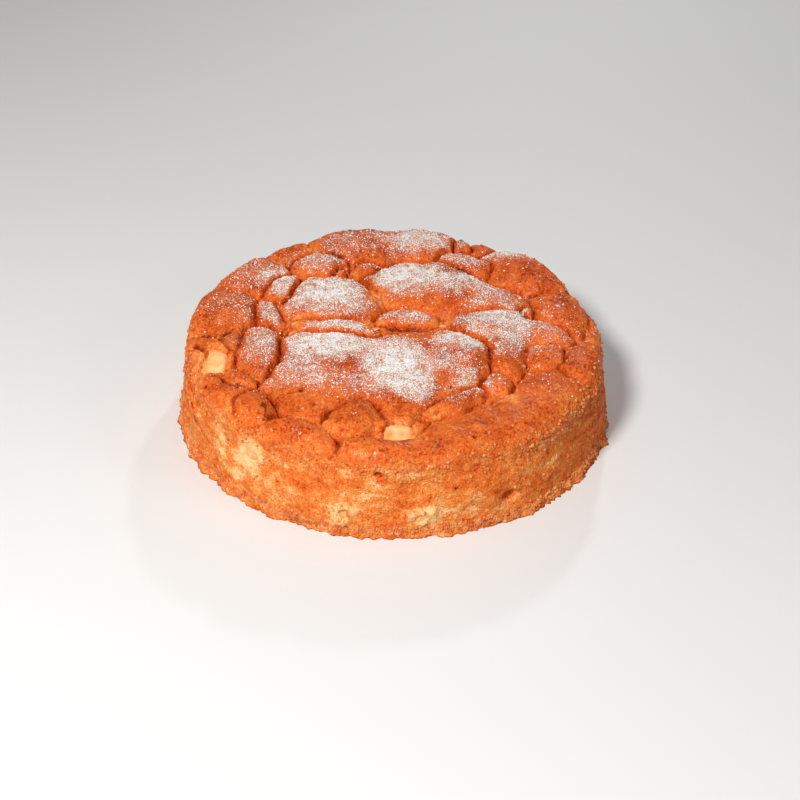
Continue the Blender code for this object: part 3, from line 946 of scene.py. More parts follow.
@dataclass(frozen=True)
class FloorFinish:
    """The studio's pale matt floor."""

    light: Colour = (0.74, 0.74, 0.735, 1.0)
    shade: Colour = (0.71, 0.71, 0.705, 1.0)
    roughness: float = 0.7

    def material(self) -> bpy.types.Material:
        """Makes the material.

        Returns:
            The floor's material.
        """
        tree = MaterialTree("studio_floor", self.light)
        clouds = tree.noise(tree.place(), 1.5, 51.0)
        tree.set(Base_Color=tree.ramp(clouds, ((0.35, self.light), (0.65, self.shade))),
                 Roughness=self.roughness)
        return tree.material


# The cake.


@dataclass(frozen=True)
class SpongeForm:
    """The risen sponge: the height of its top and the radius of its side at any place."""

    foot_radius: float = 0.1160
    top_radius: float = 0.1132
    shoulder_height: float = 0.0400
    shoulder_round: float = 0.0075
    foot_flare: float = 0.0022
    foot_flare_height: float = 0.0070
    side_wave: float = 0.0014
    side_lump: float = 0.0006
    batter_level: float = 0.0462
    lobe_foot: float = 0.0380
    lobe_fullness: float = 2.1
    lobe_roundness: float = 0.62
    lobe_spread: float = 1.30
    mound_blend: float = 6.0
    crease_sharpness: float = 1500.0
    groove_depth: float = 0.0046
    groove_width: float = 0.0012
    groove_shift: float = 0.0006
    roll_depth: float = 0.0014
    roll_width: float = 0.0045
    crease_scale: float = 0.020
    crease_step: float = 0.0004
    outline_wander: float = 0.0040
    outline_scale: float = 0.019
    fine_wander: float = 0.0015
    fine_scale: float = 0.0075
    swell: float = 0.0010
    swell_scale: float = 0.012

    def wander(self, x: Floats, y: Floats, seed: float) -> Floats:
        """How far the outlines of the lobes stray from plain ellipses, in broad and in fine waves."""
        broad = self.outline_wander * flow(x, y, self.outline_scale, seed)
        return broad + self.fine_wander * flow(x, y, self.fine_scale, seed + 20.0)

    def pillow(self, reach: Floats, crown: float) -> Floats:
        """How far a lobe rises above its foot at a reach of 0 in its middle and 1 at its outline."""
        inside = np.clip(1.0 - (reach / self.lobe_spread) ** self.lobe_fullness, 0.0, None)
        return (crown - self.lobe_foot) * inside**self.lobe_roundness

    def rises(self, east: Floats, north: Floats) -> Floats:
        """How far each mound of lobes rises above its foot.

        Args:
            east: Places to the right, with the outlines' wander added.
            north: Places to the back, with the outlines' wander added.

        Returns:
            One row for each mound.
        """
        rows = []
        for lobe in LOBES:
            turn = math.radians(lobe.turn_deg)
            along = (east - lobe.x) * math.cos(turn) + (north - lobe.y) * math.sin(turn)
            across = (north - lobe.y) * math.cos(turn) - (east - lobe.x) * math.sin(turn)
            rows.append(self.pillow(np.hypot(along / lobe.half_length, across / lobe.half_width), lobe.crown))
        radius, bearing = np.hypot(east, north), np.arctan2(north, east)
        for lobe in RIM_LOBES:
            arc = turn_from(bearing, lobe.bearing_deg)
            inward = (radius - lobe.radius) / lobe.half_width
            rows.append(self.pillow(np.hypot(arc / math.radians(lobe.half_arc_deg), inward), lobe.crown))
        mounds: dict[str, Floats] = {}
        for lobe, row in zip(LOBES + RIM_LOBES, rows):
            mounds[lobe.mound] = mounds.get(lobe.mound, 0.0) + row**self.mound_blend
        return np.array(list(mounds.values())) ** (1.0 / self.mound_blend)

    def crust(self, x: Floats, y: Floats) -> tuple[Floats, Floats]:
        """The top crust before the shoulder rounds it off.

        Args:
            x: Places to the right.
            y: Places to the back.

        Returns:
            Its height, and how far each place is from the nearest crease, below zero where its mound
            is tucked under the next one.
        """
        east, north = x + self.wander(x, y, 3.1), y + self.wander(x, y, 9.7)
        rises = self.rises(east, north)
        batter = math.exp(self.crease_sharpness * (self.batter_level - self.lobe_foot))
        total = batter + np.exp(self.crease_sharpness * rises).sum(axis=0)
        height = self.lobe_foot + np.log(total) / self.crease_sharpness
        order = np.argsort(rises, axis=0)
        first, second, spot = order[-1], order[-2], np.arange(len(x))
        floor = self.batter_level - self.lobe_foot

        def lead(rises: Floats) -> Floats:
            """How far the highest mound stands above the next one."""
            return rises[first, spot] - np.maximum(rises[second, spot], floor)

        here = lead(rises)
        slope = np.hypot(lead(self.rises(east + self.crease_step, north)) - here,
                         lead(self.rises(east, north + self.crease_step)) - here) / self.crease_step
        away = here / np.maximum(slope, 0.08)
        signed = np.where(first < second, away, -away)
        uneven = 0.8 + 0.7 * flow(x, y, self.crease_scale, 6.6)
        groove = np.exp(-(((signed + self.groove_shift) / self.groove_width) ** 2))
        roll = np.exp(-((away / self.roll_width) ** 2))
        height = height - (self.groove_depth * groove + self.roll_depth * roll) * uneven
        return height + self.swell * flow(x, y, self.swell_scale, 5.3), signed

    def side_noise(self, bearing: Floats, height: Floats, turns: float, rises: float, seed: float) -> Floats:
        """Smooth noise round the side that closes on itself, from about -1 to 1."""
        places = zip(turns * np.cos(bearing) + seed, turns * np.sin(bearing), rises * height)
        return np.array([noise.noise(Vector(place)) for place in places])

    def side(self, bearing: Floats, height: Floats) -> Floats:
        """Radius of the side.

        Args:
            bearing: Bearings in radians.
            height: Heights above the underside.

        Returns:
            The radius at each of them.
        """
        share = np.clip(height / self.shoulder_height, 0.0, 1.0)
        radius = self.foot_radius + (self.top_radius - self.foot_radius) * share**2 * (3.0 - 2.0 * share)
        radius = radius + self.foot_flare * np.clip(1.0 - height / self.foot_flare_height, 0.0, 1.0) ** 2
        radius = radius + self.side_wave * self.side_noise(bearing, height, 2.2, 40.0, 0.0)
        radius = radius + self.side_lump * self.side_noise(bearing, height, 9.0, 90.0, 4.0)
        for dent in SIDE_DENTS:
            radius = radius - dent.depth * self.near(bearing, height, dent)
        return radius

    def near(self, bearing: Floats, height: Floats, mark: SideDent | SidePatch) -> Floats:
        """How near each place of the side is to the middle of a dent or patch, as 0 to 1."""
        turn = turn_from(bearing, mark.bearing_deg)
        up = height - mark.height
        across = turn * self.foot_radius - mark.lean * up
        return np.exp(-((across / mark.half_width) ** 2) - (up / mark.half_height) ** 2)

    def crown(self, bearing: Floats, share: Floats) -> tuple[Floats, Floats]:
        """Places of the top: lobes inside, and a rounded shoulder where they meet the side.

        Args:
            bearing: Bearings in radians.
            share: 0 in the middle and 1 where the side begins.

        Returns:
            One row for each place, and how far it is from the nearest crease.
        """
        flat = 1.0 - self.shoulder_round / self.top_radius
        arc = 0.5 * math.pi * (1.0 - flat)
        flat_share = flat / (flat + arc)
        bend = np.clip((share - flat_share) / (1.0 - flat_share), 0.0, 1.0) * 0.5 * math.pi
        reach = np.where(share < flat_share, share / flat_share * flat, flat + np.sin(bend) * (1.0 - flat))
        radius = reach * self.side(bearing, np.full(len(bearing), self.shoulder_height))
        x, y = radius * np.cos(bearing), radius * np.sin(bearing)
        height, away = self.crust(x, y)
        z = self.shoulder_height + (height - self.shoulder_height) * np.cos(bend)
        return np.column_stack((x, y, z)), away

    def middle(self) -> Vector:
        """Middle of the cake's box seen from above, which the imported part's origin stands under."""
        levels = np.linspace(0.0, self.shoulder_height, 10)
        turns, heights = np.meshgrid(np.linspace(0.0, math.tau, 721), levels)
        radii = self.side(turns.ravel(), heights.ravel())
        east, north = radii * np.cos(turns.ravel()), radii * np.sin(turns.ravel())
        return Vector((0.5 * (east.max() + east.min()), 0.5 * (north.max() + north.min()), 0.0))


@dataclass(frozen=True)
class Chunk:
    """A die of apple in its place in the sponge: half its sizes, where it is, how it is turned, its seed."""

    name: str
    half_sizes: tuple[float, float, float]
    location: Vector
    rotation: Matrix
    seed: float
    bare: float = 0.80
    sunk: float = 0.0006

    squareness: float = 4.5
    window_squareness: float = 2.7
    unevenness: float = 0.0007
    narrowing: float = 0.16
    bite: float = 0.00022

    def reach(self, places: Floats) -> tuple[Floats, Floats]:
        """How far places are from the chunk's middle line, and how far along it.

        Args:
            places: One row for each place.

        Returns:
            The reach across, which is 1 at the chunk's outline, and the height along its upward axis.
        """
        local = (places - np.array(self.location)) @ np.array(self.rotation)
        across = np.abs(local[:, :2]) / np.array(self.half_sizes[:2])
        reach = (across**self.window_squareness).sum(axis=1) ** (1.0 / self.window_squareness)
        return reach, local[:, 2]

    def mesh(self, cuts: int) -> bpy.types.Mesh:
        """Makes the chunk with soft corners, narrower at its foot, and with the knife's small bites.

        Args:
            cuts: How often each edge of the die is cut.

        Returns:
            Its mesh.
        """
        mesh = bmesh.new()
        bmesh.ops.create_cube(mesh, size=2.0)
        bmesh.ops.subdivide_edges(mesh, edges=mesh.edges[:], cuts=cuts, use_grid_fill=True)
        edge = mesh.verts.layers.float.new("edge")
        for vertex in mesh.verts:
            vertex[edge] = sorted(abs(side) for side in vertex.co)[1] + 0.9 * (0.92 - self.bare)
            bulk = sum(abs(side) ** self.squareness for side in vertex.co) ** (1.0 / self.squareness)
            way = vertex.co / bulk
            lump = self.unevenness * noise.noise(way * 1.3 + Vector((self.seed, 0.0, 0.0)))
            lump += self.bite * noise.noise(way * 5.0 + Vector((0.0, self.seed, 0.0)))
            narrow = 1.0 - self.narrowing * 0.5 * (1.0 - way.z)
            shaped = Vector([side * (half * share + lump)
                             for side, half, share in zip(way, self.half_sizes, (narrow, narrow, 1.0))])
            vertex.co = self.rotation @ shaped + self.location
        data = bpy.data.meshes.new(self.name)
        mesh.to_mesh(data)
        mesh.free()
        data.shade_smooth()
        return data


@dataclass
class AppleChunks:
    """The chunks of apple that show in the creases of the top and in the side."""

    form: SpongeForm
    middle: Vector
    finish: AppleFinish = AppleFinish()
    side_proud: float = 0.0004
    sunk_on_top: float = 0.0014
    cuts: int = 12

    def on_top(self) -> list[Chunk]:
        """The chunks that peek out between the lobes."""
        chunks = []
        across = np.linspace(-0.3, 0.3, 9)
        for count, piece in enumerate(APPLE_PIECES):
            east, north = np.meshgrid(piece.x + across * piece.width, piece.y + across * piece.width)
            lowest = self.form.crust(east.ravel(), north.ravel())[0].min()
            place = Vector((piece.x, piece.y, lowest + piece.shows - 0.5 * piece.depth)) - self.middle
            turn = Euler((math.radians(piece.tip_deg), 0.0, math.radians(piece.turn_deg))).to_matrix()
            sizes = (0.5 * piece.length, 0.5 * piece.width, 0.5 * piece.depth)
            chunks.append(Chunk(piece.name, sizes, place, turn, 1.7 * count, piece.bare, self.sunk_on_top))
        return chunks

    def in_the_side(self) -> list[Chunk]:
        """The chunks whose outer face lies in the side."""
        chunks = []
        for count, piece in enumerate(SIDE_APPLES):
            bearing = math.radians(piece.bearing_deg)
            face = self.form.side(np.array([bearing]), np.array([piece.height]))[0]
            reach = face + self.side_proud - 0.5 * piece.depth
            place = Vector((reach * math.cos(bearing), reach * math.sin(bearing), piece.height)) - self.middle
            outward = Matrix.Rotation(bearing, 3, "Z") @ Matrix.Rotation(0.5 * math.pi, 3, "Y")
            turn = outward @ Matrix.Rotation(math.radians(piece.turn_deg), 3, "Z")
            sizes = (0.5 * piece.width, 0.5 * piece.tall, 0.5 * piece.depth)
            chunks.append(Chunk(piece.name, sizes, place, turn, 40.0 + 1.7 * count))
        return chunks

    def build(self) -> list[Chunk]:
        """Makes every chunk and puts it on the cake.

        Returns:
            The chunks, for the crust to be fitted round.
        """
        material = self.finish.material()
        chunks = self.on_top() + self.in_the_side()
        for chunk in chunks:
            piece = bpy.data.objects.new(f"{chunk.name}_flesh", chunk.mesh(self.cuts))
            bpy.context.scene.collection.objects.link(piece)
            piece.data.materials.append(material)
            dress(piece, Slot.APPLE, chunk.name)
        return chunks


@dataclass
class BakedCrust:
    """The crust of the whole cake, with what the oven and the sieve left on it."""

    form: SpongeForm
    middle: Vector
    chunks: list[Chunk]
    finish: CrustFinish = CrustFinish()
    rings: int = 128
    rows: int = 46
    window_wave: float = 0.30
    window_scale: float = 0.0050
    window_wall: float = 0.0012
    lap_height: float = 0.0010
    lap_wave: float = 0.0020
    collar_slope: float = 1.0
    collar_blend: float = 1300.0
    hug: float = 0.0022
    lowest_top: float = 0.038
    bubble_depth: float = 0.0014
    # Painted shade on the right of the side: how much, where it is darkest, and how far it reaches.
    painted_shade_side: float = 0.13
    painted_shade_side_deg: float = 345.0
    painted_shade_reach_deg: float = 27.0
    ragged_side_deg: float = 327.0
    relief: dict[str, float] = field(default_factory=lambda: {
        "Wrinkle Height": 0.00095, "Wrinkle Size": 0.0062, "Grain Height": 0.00060, "Grain Size": 0.0024,
        "Pore Depth": 0.00070, "Pore Spacing": 0.0042, "Coarse Height": 0.0017, "Coarse Size": 0.0024,
        "Foot Band": 0.0042, "Foot Tooth Height": 0.0036, "Foot Tooth Size": 0.0028, "Seed": 7.0})

    def disc(self) -> tuple[Floats, Floats, list[tuple[int, ...]]]:
        """A disc of rings that each have six corners more than the ring inside.

        Returns:
            The bearing of each corner, its share of the radius, and the triangles.
        """
        bearings, shares, faces = [np.zeros(1)], [np.zeros(1)], []
        for ring in range(1, self.rings + 1):
            steps = np.arange(6 * ring)
            bearings.append(np.radians(30.0 + 60.0 * steps / ring))
            shares.append(np.full(6 * ring, ring / self.rings))
            outer = 1 + 3 * ring * (ring - 1)
            inner, inside = (1 + 3 * (ring - 1) * (ring - 2), 6 * (ring - 1)) if ring > 1 else (0, 1)
            for sector in range(6):
                for step in range(ring):
                    near = outer + sector * ring + step
                    far = outer + (sector * ring + step + 1) % (6 * ring)
                    core = inner + (sector * (ring - 1) + step) % inside
                    faces.append((near, far, core))
                    if step < ring - 1:
                        faces.append((core, far, inner + (sector * (ring - 1) + step + 1) % inside))
        return np.concatenate(bearings), np.concatenate(shares), faces

    def skin(self) -> tuple[Floats, Floats, list[tuple[int, ...]], int]:
        """The whole surface before any relief.

        Returns:
            Its places, how far each is from a crease, its faces, and how many faces the underside has.
        """
        bearing, share, faces = self.disc()
        top, away = self.form.crown(bearing, share)
        around = 6 * self.rings
        rim = bearing[-around:]
        rows = [top]
        first = len(top) - around
        for row in range(1, self.rows + 1):
            height = np.full(around, self.form.shoulder_height * (1.0 - row / self.rows))
            radius = self.form.side(rim, height) + self.tags(rim, height) - self.holes(rim, height)
            rows.append(np.column_stack((radius * np.cos(rim), radius * np.sin(rim), height)))
            for step in range(around):
                after = (step + 1) % around
                faces.append((first + step, first + around + step, first + around + after, first + after))
            first += around
        below = first + around
        rows.append(np.zeros((1, 3)))
        faces += [(first + (step + 1) % around, first + step, below) for step in range(around)]
        places = np.vstack(rows)
        away = np.concatenate((away, np.full(len(places) - len(away), 0.02)))
        return places, away, faces, around

    def tags(self, bearing: Floats, height: Floats) -> Floats:
        """How far the tags at the foot stand out from the side."""
        out = np.zeros(len(bearing))
        for tag in FOOT_TAGS:
            turn = turn_from(bearing, tag.bearing_deg) * self.form.foot_radius
            up = np.clip(height - 0.0012, 0.0, None) / tag.half_height
            out = out + tag.reach * np.exp(-((turn / tag.half_width) ** 2) - up**2)
        return out

    def holes(self, bearing: Floats, height: Floats) -> Floats:
        """How deep the small holes go into the side."""
        depth = np.zeros(len(bearing))
        for hole in SIDE_HOLES:
            turn = turn_from(bearing, hole.bearing_deg) * self.form.foot_radius
            away = (turn / hole.half_width) ** 2 + ((height - hole.height) / hole.half_height) ** 2
            depth = np.maximum(depth, hole.depth * np.exp(-(away**2)))
        return depth

    def fit_round(self, places: Floats) -> tuple[Floats, Floats]:
        """Laps the crust over the edges of each chunk and leaves an uneven window where the chunk shows.

        Args:
            places: The crust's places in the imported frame.

        Returns:
            The places, and how near each is to the window of a chunk, as 0 to 1.
        """
        touch = np.zeros(len(places))
        for chunk in self.chunks:
            reach, rise = chunk.reach(places)
            small, top = min(chunk.half_sizes[:2]), chunk.half_sizes[2]
            near = np.nonzero((np.abs(rise) < top + 0.006) & (reach < 2.4))[0]
            if not len(near):
                continue
            reach, rise, own = reach[near], rise[near], places[near]
            scale = (self.window_scale, self.window_scale, self.window_scale)
            window = chunk.bare + self.window_wave * flow_in_space(own, scale, chunk.seed)
            gap = (reach - window) * small
            lap = self.lap_height + self.lap_wave * flow_in_space(own, scale, chunk.seed + 9.0)
            collar = top + lap - self.collar_slope * np.clip(gap, 0.0, None)
            climbed = np.logaddexp(self.collar_blend * rise, self.collar_blend * collar) / self.collar_blend
            inside = 1.0 - ease(gap, -2.0 * self.window_wall, -self.window_wall)
            target = climbed + inside * (top - chunk.sunk - climbed)
            places[near] = own + (target - rise)[:, None] * np.array(chunk.rotation)[:, 2]
            close = np.exp(-((np.clip(gap, 0.0, None) / self.hug) ** 2))
            touch[near] = np.maximum(touch[near], close)
        return places, touch

    def wall_share(self, places: Floats) -> Floats:
        """How much each place belongs to the side: 0 on the top and 1 below the shoulder."""
        edge = self.form.top_radius
        out = ease(np.hypot(places[:, 0], places[:, 1]), edge - 0.010, edge - 0.001)
        return out * (1.0 - ease(places[:, 2], 0.0385, 0.0475))

    def tone(self, places: Floats, away: Floats, touch: Floats, wall: Floats) -> Floats:
        """How brown the crust is, with painted shade added along the creases, in the side's holes and on the
        right of the side.

        Args:
            places: The crust's places in the sponge's own frame.
            away: How far each place is from the nearest crease.
            touch: How near a chunk is.
            wall: How much a place belongs to the side.

        Returns:
            0 for pale to 1 for burnt.
        """
        x, y, z = places.T
        crease = np.exp(-((away / 0.0040) ** 2))
        # A thin dark line deep in each crease: painted shade, partly a browner baked line.
        painted_crease_shade = np.exp(-(((away + 0.0007) / 0.0010) ** 2))
        crowned = np.clip((z - 0.0495) / 0.005, -1.0, 1.0)
        above = 0.63 + 0.13 * flow(x, y, 0.024, 11.0) + 0.12 * flow(x, y, 0.008, 12.0) + 0.07 * crowned
        above = above - 0.07 * crease + 0.42 * painted_crease_shade
        bearing = np.arctan2(y, x)
        beside = 0.42 + 0.10 * flow_in_space(places, (0.022, 0.022, 0.012), 3.0)
        beside = beside + 0.09 * flow_in_space(places, (0.010, 0.010, 0.004), 8.0)
        beside = beside + 0.07 * ease(z, 0.030, 0.042)
        # The right of the side is painted browner: painted shade where it faces away from the key light.
        right = turn_from(bearing, self.painted_shade_side_deg) / math.radians(self.painted_shade_reach_deg)
        beside = beside + self.painted_shade_side * np.exp(-(right**2))
        uneven = 0.65 + 0.9 * flow_in_space(places, (0.007, 0.007, 0.005), 13.0)
        for patch in SIDE_PATCHES:
            beside = beside - patch.paler * uneven * self.form.near(bearing, z, patch)
        # The holes are painted browner: painted shade inside them.
        beside = beside + 0.42 * np.clip(self.holes(bearing, z) / 0.0012, 0.0, 1.0)
        mixed = above * (1.0 - wall) + beside * wall
        return mixed - 0.18 * touch - 0.10 * self.coarse(places)

    def powder(self, places: Floats, away: Floats, touch: Floats, wall: Floats, upward: Floats) -> Floats:
        """How densely icing sugar lies.

        Args:
            places: The crust's places in the sponge's own frame.
            away: How far each place is from the nearest crease.
            touch: How near a chunk is.
            wall: How much a place belongs to the side.
            upward: How far each place faces up, as the height of its normal.

        Returns:
            0 for bare crust to 1 for a closed dusting.
        """
        x, y, _ = places.T
        stray = 0.005 * flow(x, y, 0.012, 61.0) + 0.003 * flow(x, y, 0.005, 62.0)
        bare = np.full(len(places), 0.975)
        for patch in DUST_PATCHES:
            reach = np.hypot((x - patch.x) / patch.half_length, (y - patch.y) / patch.half_width)
            reach = reach + stray / patch.half_width
            bare = bare * (1.0 - patch.density * (1.0 - ease(reach, 0.20, 1.45)))
        sifted = 1.0 - bare - 0.10 * ease(-y, 0.055, 0.085)
        settled = ease(upward, 0.50, 0.93) * ease(np.abs(away), 0.0004, 0.0032)
        return np.clip(sifted, 0.0, 1.0) * settled * (1.0 - wall) * (1.0 - touch)

    def coarse(self, places: Floats) -> Floats:
        """How open and ragged the crumb is: most on the right of the shoulder."""
        x, y, z = places.T
        turn = turn_from(np.arctan2(y, x), self.ragged_side_deg)
        ragged = np.exp(-((turn / math.radians(17.0)) ** 2)) * np.exp(-(((z - 0.0385) / 0.0075) ** 2))
        ragged = ragged * ease(np.hypot(x, y), 0.096, 0.106)
        shoulder = 0.30 * np.exp(-(((z - 0.040) / 0.006) ** 2)) * ease(np.hypot(x, y), 0.100, 0.110)
        return np.clip(ragged + shoulder + 0.25 * ease(-z, -0.004, 0.0), 0.0, 1.0)

    def crumbly(self, places: Floats) -> Floats:
        """Where loose crumbs cling: at the foot, on the ragged shoulder, and a few anywhere."""
        x, y, z = places.T
        foot = ease(z, 0.0021, 0.0027) * (1.0 - ease(z, 0.0030, 0.0070))
        foot = foot * ease(np.hypot(x, y), 0.108, 0.112)
        loose = 0.004 * ease(z, 0.003, 0.010)
        return np.clip(foot + 0.16 * self.coarse(places) * ease(z, 0.010, 0.020) + loose, 0.0, 1.0)

    def moist(self, places: Floats) -> Floats:
        """Where juice left the crust shiny."""
        shine = np.zeros(len(places))
        for spot in MOIST_SPOTS:
            away = np.hypot(places[:, 0] - spot.x, places[:, 1] - spot.y)
            glow = np.where(places[:, 2] > self.lowest_top, np.exp(-((away / spot.radius) ** 2)), 0.0)
            shine = np.maximum(shine, glow)
        return np.maximum(shine, 0.03 + 0.40 * ease(places[:, 2], 0.035, 0.043))

    def burst(self, places: Floats, tone: Floats) -> tuple[Floats, Floats]:
        """Opens the few bubbles that burst while the cake rose.

        Args:
            places: The crust's places in the sponge's own frame.
            tone: How brown each is.

        Returns:
            The places, and the tone with painted shade in each hole.
        """
        for bubble in BURST_BUBBLES:
            away = np.hypot(places[:, 0] - bubble.x, places[:, 1] - bubble.y)
            hole = np.where(places[:, 2] > self.lowest_top, np.exp(-((away / bubble.radius) ** 2)), 0.0)
            places = places - np.outer(hole, (0.0, 0.0, self.bubble_depth))
            # Each hole is painted browner: painted shade inside it.
            tone = tone + 0.5 * hole
        return places, tone

    def mesh(self) -> bpy.types.Mesh:
        """Makes the crust's mesh with what its finish and the scattered pieces read.

        Returns:
            The mesh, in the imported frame.
        """
        places, away, faces, below = self.skin()
        places, touch = self.fit_round(places - np.array(self.middle))
        own = places + np.array(self.middle)
        wall = self.wall_share(own)
        tone = self.tone(own, away, touch, wall)
        own, tone = self.burst(own, tone)
        data = bpy.data.meshes.new("crust_skin")
        data.from_pydata((own - np.array(self.middle)).tolist(), [], faces)
        data.shade_smooth()
        for face in data.polygons[len(faces) - below:]:
            face.use_smooth = False
        normals = np.zeros(3 * len(own))
        data.vertex_normals.foreach_get("vector", normals)
        upward = normals.reshape(-1, 3)[:, 2]
        held = {"tone": tone, "powder": self.powder(own, away, touch, wall, upward),
                "coarse": self.coarse(own), "moist": self.moist(own), "wall": wall,
                "crumbly": self.crumbly(own)}
        for name, values in held.items():
            data.attributes.new(name, "FLOAT", "POINT").data.foreach_set("value", values.astype(np.float32))
        return data

    def relief_tree(self) -> ShapeTree:
        """Builds the relief: wrinkles, grain, pores, coarse crumb and the ragged foot.

        Returns:
            The tree.
        """
        tree = ShapeTree("crust_relief", self.relief)
        size = tree.inputs
        place = tree.add("GeometryNodeInputPosition").outputs[0]
        normal = tree.add("GeometryNodeInputNormal").outputs[0]
        wall = tree.add("GeometryNodeInputNamedAttribute", data_type="FLOAT")
        wall.inputs["Name"].default_value = "wall"
        coarse = tree.add("GeometryNodeInputNamedAttribute", data_type="FLOAT")
        coarse.inputs["Name"].default_value = "coarse"

        def waves(height: str, spacing: str, seed: float, detail: float) -> bpy.types.NodeSocket:
            """Noise of a named height and size, as high above the surface as below it."""
            where = tree.math("ADD", size["Seed"], seed)
            pattern = tree.noise(place, tree.math("DIVIDE", 1.0, size[spacing]), where, detail)
            both_ways = tree.math("MULTIPLY", size[height], 2.0)
            return tree.math("MULTIPLY", tree.math("SUBTRACT", pattern, 0.5), both_ways)

        wrinkles = waves("Wrinkle Height", "Wrinkle Size", 0.0, 1.0)
        grain = waves("Grain Height", "Grain Size", 1.0, 1.0)
        grain = tree.math("MULTIPLY", grain, tree.math("MULTIPLY_ADD", wall.outputs["Attribute"], 0.8, 0.7))
        rugged = waves("Coarse Height", "Coarse Size", 2.0, 2.0)
        rugged = tree.math("MULTIPLY", rugged, coarse.outputs["Attribute"])
        distance, chance = tree.cells(place, tree.math("DIVIDE", 1.0, size["Pore Spacing"]), 4.0)
        hole = tree.math("SUBTRACT", 1.0, tree.step(distance, 0.08, 0.26))
        hole = tree.math("MULTIPLY", hole, tree.step(chance, 0.55, 0.75))
        hole = tree.math("MULTIPLY", hole, size["Pore Depth"])
        rise = tree.math("SUBTRACT", tree.math("ADD", tree.math("ADD", wrinkles, grain), rugged), hole)

        split = tree.add("ShaderNodeSeparateXYZ")
        tree.feed(split.inputs[0], place)
        height = split.outputs[2]
        clear = tree.step(height, 0.0001, 0.0012)
        offset = tree.vector("SCALE", normal, tree.math("MULTIPLY", rise, clear))
        outward = tree.add("ShaderNodeCombineXYZ")
        tree.feed(outward.inputs[0], split.outputs[0])
        tree.feed(outward.inputs[1], split.outputs[1])
        outward = tree.vector("NORMALIZE", outward.outputs[0], (0.0, 0.0, 0.0))
        teeth = waves("Foot Tooth Height", "Foot Tooth Size", 3.0, 2.0)
        low = tree.math("SUBTRACT", 1.0, tree.step(height, 0.0, size["Foot Band"]))
        foot = tree.vector("SCALE", outward, tree.math("MULTIPLY", teeth, low))

        moved = tree.add("GeometryNodeSetPosition")
        tree.feed(moved.inputs["Geometry"], size["Geometry"])
        tree.feed(moved.inputs["Offset"], tree.vector("ADD", offset, foot))
        tree.end(moved.outputs[0])
        return tree

    def build(self) -> bpy.types.Object:
        """Makes the crust and puts it on the cake.

        Returns:
            The crust.
        """
        crust = self.relief_tree().shape("crust", self.mesh(), self.finish.material())
        dress(crust, Slot.CRUST, "cake")
        return crust


